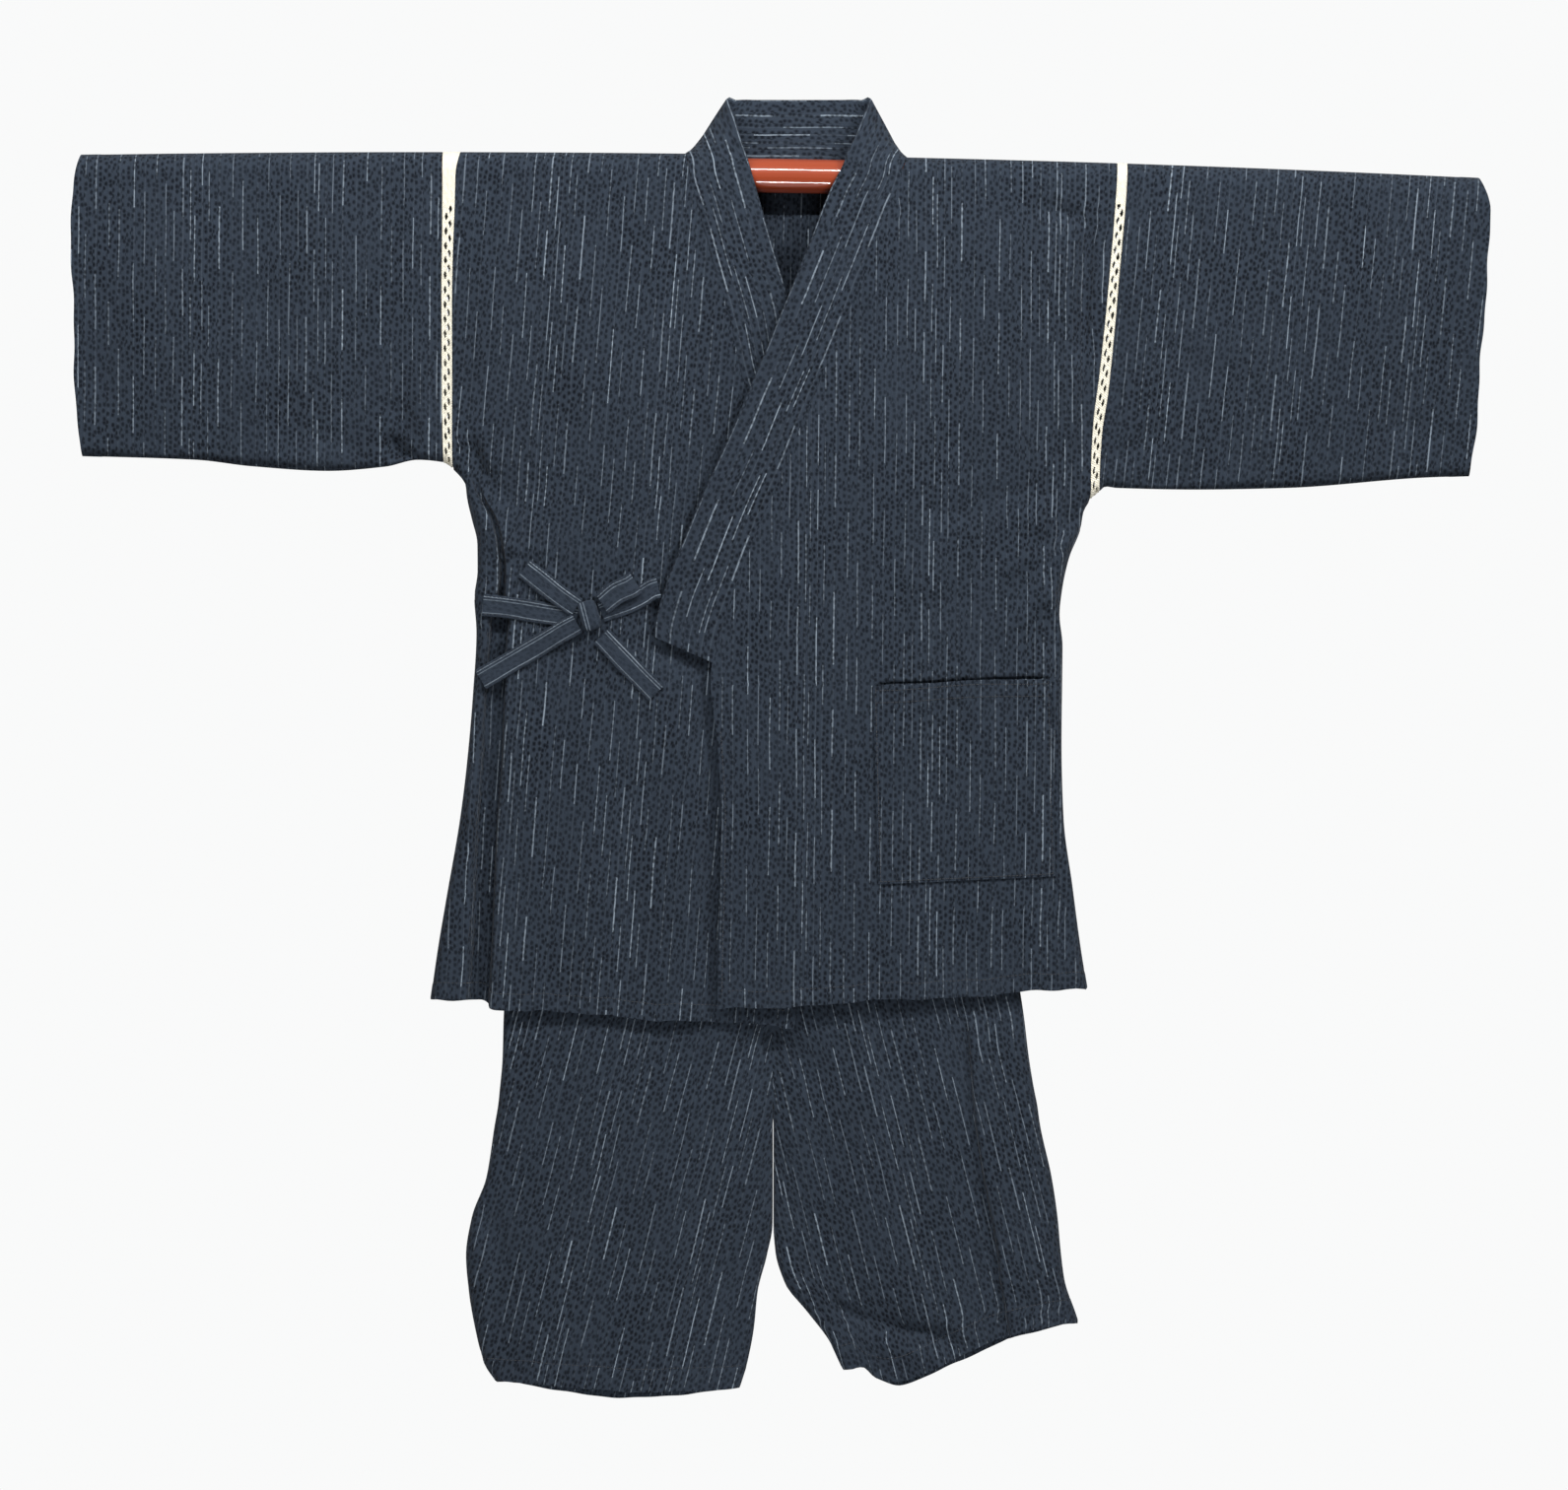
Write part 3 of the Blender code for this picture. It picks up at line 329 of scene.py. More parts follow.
# The shorts, row by row: the outer side, a crease line, and the centre seam or inseam.
LegRow = namedtuple("LegRow", "outer_x outer_z crease_x inner_x inner_z sag")
RIGHT_LEG = rows(
    LegRow,
    (-0.1889, -0.582, -0.15, -0.0151, -0.582, 0.0),
    (-0.2093, -0.613, -0.172, -0.0142, -0.613, 0.0),
    (-0.23, -0.658, -0.205, -0.0133, -0.658, 0.0),
    (-0.243, -0.702, -0.223, -0.0124, -0.702, 0.0),
    (-0.2515, -0.752, -0.233, -0.0115, -0.752, 0.0),
    (-0.2528, -0.795, -0.236, -0.0106, -0.795, 0.0),
    (-0.2555, -0.825, -0.239, -0.01, -0.825, 0.0),
    (-0.2565, -0.835, -0.24, -0.0098, -0.835, 0.0),
    (-0.2599, -0.855, -0.2435, -0.0098, -0.855, 0.0),
    (-0.2674, -0.902, -0.2515, -0.0098, -0.902, 0.0),
    (-0.2803, -0.937, -0.2635, -0.01, -0.942, 0.0),
    (-0.2856, -0.972, -0.2672, -0.0151, -0.971, 0.0),
    (-0.283, -1.004, -0.2665, -0.0235, -1.004, 0.0),
    (-0.2776, -1.036, -0.261, -0.0266, -1.035, 0.0),
    (-0.2696, -1.066, -0.2545, -0.0319, -1.064, 0.003),
    (-0.2581, -1.084, -0.2425, -0.0399, -1.091, 0.004),
)
LEFT_LEG = rows(
    LegRow,
    (0.1588, -0.582, 0.12, -0.0151, -0.582, 0.0),
    (0.1765, -0.613, 0.128, -0.0142, -0.613, 0.0),
    (0.1916, -0.658, 0.14, -0.0133, -0.658, 0.0),
    (0.2058, -0.702, 0.153, -0.0124, -0.702, 0.0),
    (0.2147, -0.752, 0.166, -0.0115, -0.752, 0.0),
    (0.22, -0.795, 0.17, -0.0106, -0.795, 0.0),
    (0.225, -0.825, 0.172, -0.01, -0.825, 0.0),
    (0.2271, -0.835, 0.173, -0.0098, -0.835, 0.0),
    (0.23, -0.855, 0.175, -0.0098, -0.855, 0.0),
    (0.2404, -0.902, 0.182, -0.0098, -0.902, 0.0),
    (0.2457, -0.938, 0.189, -0.0098, -0.942, 0.0),
    (0.2484, -0.967, 0.194, -0.008, -0.968, 0.0),
    (0.2519, -0.994, 0.197, 0.0009, -0.997, 0.007),
    (0.2572, -1.011, 0.2, 0.0215, -1.023, 0.013),
    (0.2608, -1.021, 0.202, 0.0395, -1.047, 0.017),
    (0.264, -1.031, 0.205, 0.0532, -1.0746, 0.0204),
)
# How the left hem sags, as a share of the most, at shares of its width out from the inseam.
Sag = namedtuple("Sag", "share size")
HEM_SAG = rows(Sag, (0, 0), (0.08, -0.08), (0.14, 0.50), (0.25, 1.0), (0.50, 0.58), (0.75, 0.15), (1, 0))
# The deep drag fold across the left leg, low on its front.
Drag = namedtuple("Drag", "x z")
LEG_DRAG = rows(
    Drag,
    (0.033, -0.983),
    (0.04, -1.0),
    (0.055, -1.0196),
    (0.1064, -1.0365),
    (0.15, -1.042),
    (0.1685, -1.0569),
)
INSEAM_START = 7
BACK_HEM_DROP = 0.009
LEG_SIDE_SHARE = 0.5
LEG_SIDE_REACH = 0.10
LEG_ROUND = 0.008
PLEAT_RISE, PLEAT_SHARP, PLEAT_SOFT = 0.0075, 0.0025, 0.045
GATHER = 0.0016
LegDepth = namedtuple("LegDepth", "z depth")
LEG_DEPTHS = rows(
    LegDepth,
    (-0.582, 0.0108),
    (-0.7, 0.0118),
    (-0.77, 0.013),
    (-0.86, 0.0175),
    (-1.1, 0.0195),
)
# The drag fold that runs in from the left leg's inseam, low on the front and plainer on the back.
LEG_FOLDS = rows(
    Fold,
    (0.034, -0.992, 0.15, -1.052, 0.012, -0.0042),
    (0.05, -1.02, 0.14, -1.072, 0.016, 0.0045),
)

WAIST_TOP = -0.547
WAIST_LOW = -0.5815
# The waistband's gathers, and the points that each has round the ring.
WAIST_GATHERS, GATHER_POINTS = 32, 14


# Folds that only the shells have: from one end to the other in the front view, how far the line bows
# sideways, how wide it is on its steep and soft sides, and its height.
Crease = namedtuple("Crease", "x0 z0 x1 z1 bow steep soft height")
LEFT_FRONT_CREASES = rows(
    Crease,
    (0.205, -0.002, 0.277, -0.042, 0.003, 0.0055, 0.014, -0.0034),
    (0.2745, -0.02, 0.265, -0.185, -0.002, 0.0055, 0.013, -0.0034),
    (0.251, -0.07, 0.247, -0.19, 0.003, 0.006, 0.011, -0.0018),
    (0.262, -0.15, 0.262, -0.262, 0.004, 0.008, 0.014, 0.0016),
    (0.27, -0.298, 0.216, -0.344, -0.004, 0.007, 0.014, -0.002),
    (0.266, -0.312, 0.243, -0.409, 0.005, 0.008, 0.016, 0.0022),
    (0.259, -0.283, 0.141, -0.306, 0.005, 0.008, 0.012, -0.0013),
    (0.236, -0.335, 0.192, -0.365, 0.003, 0.008, 0.011, 0.0016),
    (0.114, -0.303, 0.184, -0.308, -0.003, 0.007, 0.009, -0.001),
    (0.135, -0.233, 0.177, -0.243, 0.002, 0.008, 0.011, -0.0009),
    (0.19, -0.134, 0.216, -0.285, 0.007, 0.02, 0.027, 0.0012),
    (0.145, -0.046, 0.168, -0.214, -0.007, 0.021, 0.027, -0.001),
    (0.097, -0.028, 0.075, -0.134, 0.004, 0.016, 0.023, 0.0009),
    (0.248, -0.383, 0.232, -0.441, -0.003, 0.009, 0.014, -0.0014),
    (0.075, -0.374, 0.172, -0.385, 0.005, 0.012, 0.016, -0.0009),
    (0.181, -0.409, 0.234, -0.399, -0.004, 0.009, 0.014, 0.0011),
    (0.255, -0.463, 0.261, -0.72, 0.004, 0.008, 0.014, -0.0016),
    (0.224, -0.64, 0.232, -0.736, 0.002, 0.012, 0.018, 0.0015),
    (0.168, -0.644, 0.163, -0.739, 0.003, 0.014, 0.02, -0.0013),
    (0.119, -0.64, 0.114, -0.739, -0.003, 0.014, 0.02, 0.0012),
    (0.057, -0.392, 0.05, -0.739, 0.007, 0.02, 0.03, -0.0013),
    (0.004, -0.463, -0.004, -0.742, -0.005, 0.018, 0.025, 0.0013),
    (-0.039, -0.454, -0.048, -0.745, 0.004, 0.011, 0.018, 0.0009),
    (0.116, 0.0, 0.107, -0.045, -0.002, 0.003, 0.006, -0.002),
)
RIGHT_FRONT_CREASES = rows(
    Crease,
    (-0.286, -0.275, -0.227, -0.303, -0.004, 0.007, 0.012, -0.0018),
    (-0.28, -0.29, -0.238, -0.344, 0.004, 0.007, 0.012, 0.0018),
    (-0.289, -0.266, -0.192, -0.278, 0.004, 0.008, 0.012, -0.0012),
    (-0.258, -0.338, -0.209, -0.352, 0.004, 0.008, 0.011, -0.0012),
    (-0.252, -0.418, -0.227, -0.729, 0.007, 0.012, 0.023, -0.0014),
    (-0.174, -0.445, -0.184, -0.739, -0.007, 0.02, 0.028, 0.0013),
    (-0.128, -0.463, -0.138, -0.743, 0.005, 0.02, 0.027, -0.0013),
    (-0.085, -0.454, -0.09, -0.745, -0.004, 0.014, 0.021, 0.0011),
    (-0.161, -0.019, -0.183, -0.232, 0.009, 0.023, 0.032, 0.0011),
    (-0.227, -0.019, -0.236, -0.223, -0.007, 0.021, 0.027, -0.001),
    (-0.112, -0.028, -0.138, -0.179, 0.005, 0.018, 0.027, -0.0009),
    (-0.209, -0.409, -0.165, -0.454, 0.004, 0.011, 0.014, -0.001),
    (-0.227, -0.338, -0.174, -0.383, -0.004, 0.009, 0.012, -0.0011),
    (-0.28, -0.055, -0.284, -0.232, 0.003, 0.009, 0.014, -0.0012),
    (-0.282, -0.232, -0.262, -0.278, 0.002, 0.005, 0.013, -0.003),
    (-0.276, -0.425, -0.283, -0.64, 0.002, 0.002, 0.003, 0.0014),
)
RIGHT_SLEEVE_CREASES = rows(
    Crease,
    (-0.344, -0.251, -0.355, -0.196, 0.003, 0.006, 0.012, -0.0022),
    (-0.359, -0.229, -0.322, -0.264, 0.002, 0.0045, 0.014, -0.0055),
    (-0.369, -0.257, -0.44, -0.232, 0.004, 0.008, 0.014, -0.0016),
    (-0.316, -0.248, -0.334, -0.152, -0.004, 0.007, 0.014, 0.0016),
    (-0.422, -0.259, -0.484, -0.245, -0.003, 0.008, 0.012, 0.0012),
    (-0.44, -0.108, -0.529, -0.134, 0.007, 0.02, 0.025, -0.0011),
    (-0.555, -0.019, -0.573, -0.214, 0.007, 0.023, 0.03, 0.0012),
    (-0.484, -0.01, -0.474, -0.196, -0.007, 0.023, 0.03, -0.0011),
    (-0.387, -0.01, -0.396, -0.134, 0.005, 0.018, 0.025, 0.0011),
    (-0.608, -0.063, -0.614, -0.232, 0.004, 0.014, 0.021, -0.001),
    (-0.502, -0.196, -0.413, -0.179, -0.005, 0.012, 0.018, 0.0011),
    (-0.6, -0.236, -0.529, -0.243, 0.003, 0.009, 0.012, -0.001),
)
LEFT_SLEEVE_CREASES = rows(
    Crease,
    (0.356, -0.023, 0.378, -0.039, -0.002, 0.005, 0.008, -0.0012),
    (0.381, -0.033, 0.367, -0.047, 0.002, 0.005, 0.008, -0.001),
    (0.294, -0.259, 0.341, -0.214, 0.004, 0.007, 0.012, -0.0018),
    (0.305, -0.275, 0.394, -0.259, 0.004, 0.008, 0.014, -0.0015),
    (0.314, -0.134, 0.438, -0.196, 0.007, 0.018, 0.023, -0.0012),
    (0.394, -0.063, 0.5, -0.134, -0.007, 0.02, 0.025, 0.0012),
    (0.474, -0.019, 0.467, -0.223, 0.007, 0.023, 0.03, -0.0011),
    (0.553, -0.028, 0.546, -0.232, -0.005, 0.02, 0.027, 0.0012),
    (0.518, -0.214, 0.607, -0.232, 0.004, 0.011, 0.016, -0.0011),
    (0.403, -0.232, 0.474, -0.251, -0.003, 0.009, 0.012, 0.0011),
    (0.323, -0.019, 0.314, -0.126, 0.004, 0.012, 0.02, 0.0013),
)
RIGHT_LEG_CREASES = rows(
    Crease,
    (-0.019, -0.782, -0.085, -0.835, 0.007, 0.014, 0.023, -0.0022),
    (-0.014, -0.817, -0.05, -0.933, -0.004, 0.012, 0.02, 0.0018),
    (-0.209, -0.782, -0.236, -0.906, 0.007, 0.018, 0.027, 0.0016),
    (-0.156, -0.773, -0.187, -1.075, 0.011, 0.021, 0.03, -0.0018),
    (-0.094, -0.844, -0.125, -1.083, -0.009, 0.021, 0.03, 0.0018),
    (-0.27, -0.919, -0.254, -0.995, -0.005, 0.007, 0.012, -0.0022),
    (-0.263, -0.937, -0.265, -1.062, 0.003, 0.006, 0.011, 0.0018),
    (-0.054, -0.959, -0.072, -1.083, 0.004, 0.014, 0.02, -0.0014),
    (-0.223, -0.959, -0.227, -1.079, 0.004, 0.016, 0.021, 0.0013),
)
LEFT_LEG_CREASES = rows(
    Crease,
    (-0.005, -0.782, 0.039, -0.826, -0.007, 0.012, 0.021, -0.0022),
    (0.004, -0.835, 0.039, -0.942, 0.005, 0.012, 0.02, 0.0016),
    (0.066, -0.782, 0.092, -0.995, -0.011, 0.02, 0.028, 0.0015),
    (0.119, -0.791, 0.145, -1.021, 0.009, 0.02, 0.027, -0.0016),
    (0.044, -1.006, 0.129, -1.042, 0.005, 0.008, 0.014, -0.003),
    (0.062, -1.021, 0.145, -1.059, 0.004, 0.009, 0.016, 0.0026),
    (0.129, -1.041, 0.17, -1.06, -0.002, 0.007, 0.012, -0.0024),
    (0.021, -0.986, 0.066, -1.035, -0.005, 0.008, 0.013, 0.002),
    (0.216, -0.809, 0.238, -1.013, 0.003, 0.011, 0.016, 0.0012),
    (0.181, -0.995, 0.259, -1.021, 0.004, 0.008, 0.012, -0.0012),
)
BACK_CREASES = rows(
    Crease,
    (-0.262, -0.286, -0.17, -0.305, 0.004, 0.009, 0.014, -0.0017),
    (-0.25, -0.32, -0.196, -0.352, -0.004, 0.008, 0.013, 0.0016),
    (0.246, -0.3, 0.16, -0.322, 0.004, 0.009, 0.014, -0.0016),
    (0.238, -0.34, 0.178, -0.372, -0.003, 0.008, 0.012, 0.0015),
    (-0.236, -0.43, -0.214, -0.728, 0.006, 0.013, 0.022, -0.0014),
    (-0.16, -0.44, -0.172, -0.735, -0.006, 0.02, 0.028, 0.0014),
    (-0.092, -0.4, -0.104, -0.736, 0.005, 0.019, 0.027, -0.0013),
    (0.062, -0.42, 0.07, -0.738, -0.006, 0.019, 0.028, 0.0013),
    (0.136, -0.43, 0.13, -0.732, 0.005, 0.02, 0.027, -0.0014),
    (0.206, -0.45, 0.218, -0.722, -0.004, 0.013, 0.021, 0.0014),
    (-0.18, -0.03, -0.196, -0.236, 0.008, 0.022, 0.03, 0.0011),
    (-0.096, -0.05, -0.07, -0.26, -0.008, 0.024, 0.03, -0.001),
    (0.1, -0.05, 0.074, -0.24, 0.008, 0.023, 0.03, 0.001),
    (0.196, -0.03, 0.206, -0.226, -0.007, 0.022, 0.029, -0.0011),
    (-0.04, -0.052, 0.058, -0.058, 0.006, 0.01, 0.018, -0.0012),
)


def mix(a, b, t):
    return a + (b - a) * t


def ease(t):
    t = np.clip(t, 0, 1)
    return t * t * (3 - 2 * t)


def flow(rows, key, at, value):
    """The table's column `value` where its column `key` is `at`, on a smooth line through the rows."""
    x, y = np.array(sorted((getattr(row, key), getattr(row, value)) for row in rows)).T
    slope = np.diff(y) / np.diff(x)
    before, after = slope[:-1], slope[1:]
    same = before * after > 0
    between = np.where(same, 2 * before * after / np.where(same, before + after, 1), 0)
    turn = np.concatenate((slope[:1], between, slope[-1:]))
    at = np.clip(at, x[0], x[-1])
    i = np.clip(np.searchsorted(x, at) - 1, 0, len(x) - 2)
    size = x[i + 1] - x[i]
    t = (at - x[i]) / size
    held = y[i] * (1 + 2 * t) * (1 - t) ** 2 + y[i + 1] * t * t * (3 - 2 * t)
    return held + size * (turn[i] * t * (1 - t) ** 2 - turn[i + 1] * t * t * (1 - t))


def axis_z(x):
    """The rod's axis: it leans and bows a little, down towards the wearer's left."""
    return -ROD_TILT * x - ROD_BOW * x * x


def hang_z(x, z):
    """Rows near the rod follow its lean, which fades further down."""
    return z + axis_z(x) * (1 - ease(-z / 0.25))


def to_segment(x, z, start, end):
    dx, dz = end[0] - start[0], end[1] - start[1]
    t = np.clip(((x - start[0]) * dx + (z - start[1]) * dz) / (dx * dx + dz * dz), 0, 1)
    return np.hypot(x - start[0] - dx * t, z - start[1] - dz * t), t


def to_path(x, z, path):
    return np.minimum.reduce([to_segment(x, z, a, b)[0] for a, b in zip(path, path[1:])])


def closing(distance, share, reach, round_size):
    """Half the space between two walls, as a share of the full one, at a distance from where they join."""
    round_part = 1 - np.clip(distance / round_size, 0, 1)
    return mix(share, 1.0, ease(distance / reach)) * np.sqrt(np.maximum(1 - round_part**2, 0))


def side_path(rows, start):
    heights = np.linspace(start, rows[-1].side_z, 56)
    return list(zip(flow(rows, "side_z", heights, "side_x"), heights))


RIGHT_SIDE = side_path(RIGHT_FRONT, -0.262)
LEFT_SIDE = side_path(LEFT_FRONT, -0.290)


def to_side(x, z):
    """How far a point of the front view lies from the side seam of its own half."""
    return np.where(x < 0, to_path(x, z, RIGHT_SIDE), to_path(x, z, LEFT_SIDE))


def jacket_depth(x, z):
    """Half the jacket's depth, to the middle of its wall, where it hangs below the rod."""
    full = WRAP + BELLY * ease((-z - 0.30) / 0.30)
    return full * closing(to_side(x, z), SIDE_SHARE, SIDE_REACH, SIDE_ROUND)


def side_fold(x, z):
    """The deep valley beside the right side seam: steep sides and a flat bottom near the back wall."""
    fold_x = flow(RIGHT_FRONT, "side_z", z, "fold_x")
    width = flow(SIDE_FOLD, "z", z, "width")
    off = x - fold_x - 0.016
    rim = np.exp(-((off / np.where(off < 0, 0.005, 0.040)) ** 2)) * ease((-z - 0.465) / 0.05)
    return flow(SIDE_FOLD, "z", z, "depth") * np.exp(-(((x - fold_x) / width) ** 6)) - 0.0038 * rim


def pocket_mouth(x, z):
    """The narrow trough that the left front makes at the pocket's mouth."""
    right, left = POCKET[:2]
    share = (x - right.x) / (left.x - right.x)
    off = z - mix(right.z, left.z, share) - 0.0003 - 0.0005 * np.sin(x * 75) - 0.0002 * np.sin(x * 210)
    return 0.0030 * np.exp(-((off / 0.0022) ** 2)) * ease(share / 0.06) * ease((1 - share) / 0.06)


# The free edges that lie over the right front: the left side of the collar, then the left front.
OVER_EDGE = ((0.0049, -0.1065), (-0.065, -0.27), (-0.1158, -0.4156), (-0.066, -0.449), (-0.0603, -0.76))


def sunk(x, z):
    """How far the right front sinks in beside the edges over it, and all the way under them."""
    edge_x = np.interp(-z, [-at[1] for at in OVER_EDGE], [at[0] for at in OVER_EDGE])
    beside = np.where(x > edge_x, 1.0, np.exp(-((to_path(x, z, OVER_EDGE) / 0.017) ** 2)))
    return 0.006 * beside * ease((-z - 0.05) / 0.10)


def ridges(folds, x, z):
    """The height of soft folds, each fading towards its ends."""
    height = 0.0
    for fold in folds:
        distance, t = to_segment(x, z, (fold.top_x, fold.top_z), (fold.low_x, fold.low_z))
        height += fold.height * ease(t / 0.2) * ease((1 - t) / 0.2) * np.exp(-((distance / fold.width) ** 2))
    return height


def creases(folds, x, z):
    """The height of folds with one steep and one soft side, on bowed lines that fade at their ends."""
    height = 0.0
    for fold in folds:
        dx, dz = fold.x1 - fold.x0, fold.z1 - fold.z0
        length = math.hypot(dx, dz)
        t = ((x - fold.x0) * dx + (z - fold.z0) * dz) / length**2
        off = ((x - fold.x0) * dz - (z - fold.z0) * dx) / length - fold.bow * 4 * t * (1 - t)
        width = np.where(off < 0, fold.steep, fold.soft)
        height += 1.5 * fold.height * ease(t / 0.3) * ease((1 - t) / 0.3) * np.exp(-((off / width) ** 2))
    return height


def puckers(x, z, seed):
    """The uneven lay of crinkled cotton: shallow waves that run down the cloth."""
    slow = np.sin(x * 61 + seed + 2.1 * np.sin(z * 17 + seed))
    slow = slow * np.sin(z * 23 + 1.7 * seed + 1.3 * np.sin(x * 29))
    quick = np.sin(x * 149 + 2.4 * seed + 1.6 * np.sin(z * 41))
    quick = quick * np.sin(z * 67 + 0.8 * seed + 1.9 * np.sin(x * 53))
    return (0.00026 * slow + 0.00015 * quick) * ease(-z / 0.04)


def lap(x, z):
    """How far the left front lies over the right one: nothing at the shoulder, armhole and side."""
    return LAP * ease(-z / 0.08) * ease((flow(LEFT_FRONT, "side_z", z, "side_x") - x) / 0.10)


def near_side(x, z):
    """1 over the body of a front or back, fading to 0 where the wall turns in at the side seam."""
    return ease(to_side(x, z) / 0.008)


# Creases are this much higher than their tables say: on the jacket's body, and on the sleeves' fronts.
BODY_GAIN, SLEEVE_GAIN = 1.5, 1.3


def front_folds(folds, x, z, seed):
    """A front's creases, which begin clear of the rod, and its puckers."""
    return BODY_GAIN * creases(folds, x, z) * ease((-z - 0.016) / 0.022) + puckers(x, z, seed)


def right_front_depth(x, z):
    folds = front_folds(RIGHT_FRONT_CREASES, x, z, 0.4)
    return jacket_depth(x, z) - side_fold(x, z) - sunk(x, z) + folds * near_side(x, z)


def under_pocket_depth(x, z):
    folds = front_folds(LEFT_FRONT_CREASES, x, z, 1.9)
    return jacket_depth(x, z) + lap(x, z) + ridges(LEFT_FOLDS, x, z) + folds * near_side(x, z)


def left_front_depth(x, z):
    return under_pocket_depth(x, z) - pocket_mouth(x, z)


def back_depth(x, z):
    folds = BODY_GAIN * creases(BACK_CREASES, x, z) + puckers(x, z, 3.2)
    return jacket_depth(x, z) + folds * near_side(x, z)


def smooth_front_depth(x, z):
    """The right front without its deep side fold, for what is stretched over it."""
    return jacket_depth(np.clip(x, -0.262, -0.02), z)


def lifted(depth, x, z, height):
    """Points over a front wall, moved out from the wall's middle along its own normal."""
    step = 0.001
    slope_x = (depth(x + step, z) - depth(x - step, z)) / (2 * step)
    slope_z = (depth(x, z + step) - depth(x, z - step)) / (2 * step)
    length = np.sqrt(1 + slope_x**2 + slope_z**2)
    return np.stack(
        (x + slope_x * height / length, -(depth(x, z) + height / length), z + slope_z * height / length), -1
    )


def eased(count):
    """Fractions close together at their start, for a wall that turns in towards a seam."""
    return 1 - np.cos(np.pi / 2 * np.arange(count) / count)


def even(count):
    return np.arange(count) / count


def mirrored(fractions):
    return np.concatenate(([0], np.sort(1 - fractions)[:-1]))


def spread(stops, spacings):
    """Points of each row, (rows, columns, 2): between each two stops, at the fractions for that stretch."""
    points = []
    for start, end, fractions in zip(stops, stops[1:], spacings):
        for t in fractions:
            if t < 1:
                points.append(mix(start, end, t))
    points.append(stops[-1])
    return np.stack(points, 1)


def place(x, z):
    x, z = np.broadcast_arrays(x, z)
    return np.stack((x, z), -1)


def over_rod(x, angle, facing, radius=WRAP):
    turn = np.radians(angle)
    x, turn = np.broadcast_arrays(x, turn)
    return np.stack((x, facing * radius * np.sin(turn), axis_z(x) + radius * np.cos(turn)), -1)


def down(low, step=0.0042, hem=0.024, fine=0.0016):
    """Heights from the rod down to a hem, closer together where the hem is turned up."""
    long = np.arange(0, low + hem, -step)
    return np.concatenate((long, np.linspace(low + hem, low, round(hem / fine) + 1)))


def running(points):
    """Lengths along a line of points, from its start."""
    return np.concatenate(([0], np.cumsum(np.linalg.norm(np.diff(points, axis=0), axis=1))))


def running_across(grid):
    """Lengths along each row of a grid, from its start."""
    steps = np.cumsum(np.linalg.norm(np.diff(grid, axis=1), axis=2), axis=1)
    return np.concatenate((np.zeros((len(grid), 1)), steps), 1)


def columns_of(table, key, at, names):
    """Several of a table's columns, each where its column `key` is `at`."""
    return [flow(table, key, at, name) for name in names.split()]


def cut_marks(grid, lean, middle_x):
    """Where each point lies in the flat cloth: across the weave and down it, in metres."""
    across = running_across(grid)
    u = np.empty(grid.shape[:2])
    column = grid.shape[1] // 2
    v_middle = running(grid[:, column])
    for i, row in enumerate(grid):
        order = np.argsort(row[:, 0])
        at = np.interp(middle_x, row[order, 0], across[i, order])
        sign = 1 if row[-1, 0] > row[0, 0] else -1
        u[i] = sign * (across[i] - at) + middle_x
    v = v_middle[:, None] + np.where(grid[:, :, 2] < 0, grid[:, column, 2][:, None] - grid[:, :, 2], 0)
    return np.stack((u + math.tan(math.radians(lean)) * v, v), -1)


class Amount:
    """A number that varies over a surface: sums written with it become nodes of its finish."""

    def __init__(self, finish, socket):
        self.finish, self.socket = finish, socket

    def worked(self, operation, *others):
        values = {i: value for i, value in enumerate(others)}
        return self.finish.add("ShaderNodeMath", {"operation": operation}, values)["Value"]

    def __add__(self, other):
        return self.worked("ADD", self, other)

    def __sub__(self, other):
        return self.worked("SUBTRACT", self, other)

    def __rsub__(self, other):
        return self.worked("SUBTRACT", other, self)

    def __mul__(self, other):
        return self.worked("MULTIPLY", self, other)

    def __truediv__(self, other):
        return self.worked("DIVIDE", self, other)

    def __gt__(self, other):
        return self.worked("GREATER_THAN", self, other)

    def __lt__(self, other):
        return self.worked("LESS_THAN", self, other)

    __radd__, __rmul__ = __add__, __mul__

    def floor(self):
        return self.worked("FLOOR", self)

    def part(self):
        return self.worked("FRACT", self)

    def size(self):
        return self.worked("ABSOLUTE", self)

    def most(self, other):
        return self.worked("MAXIMUM", self, other)


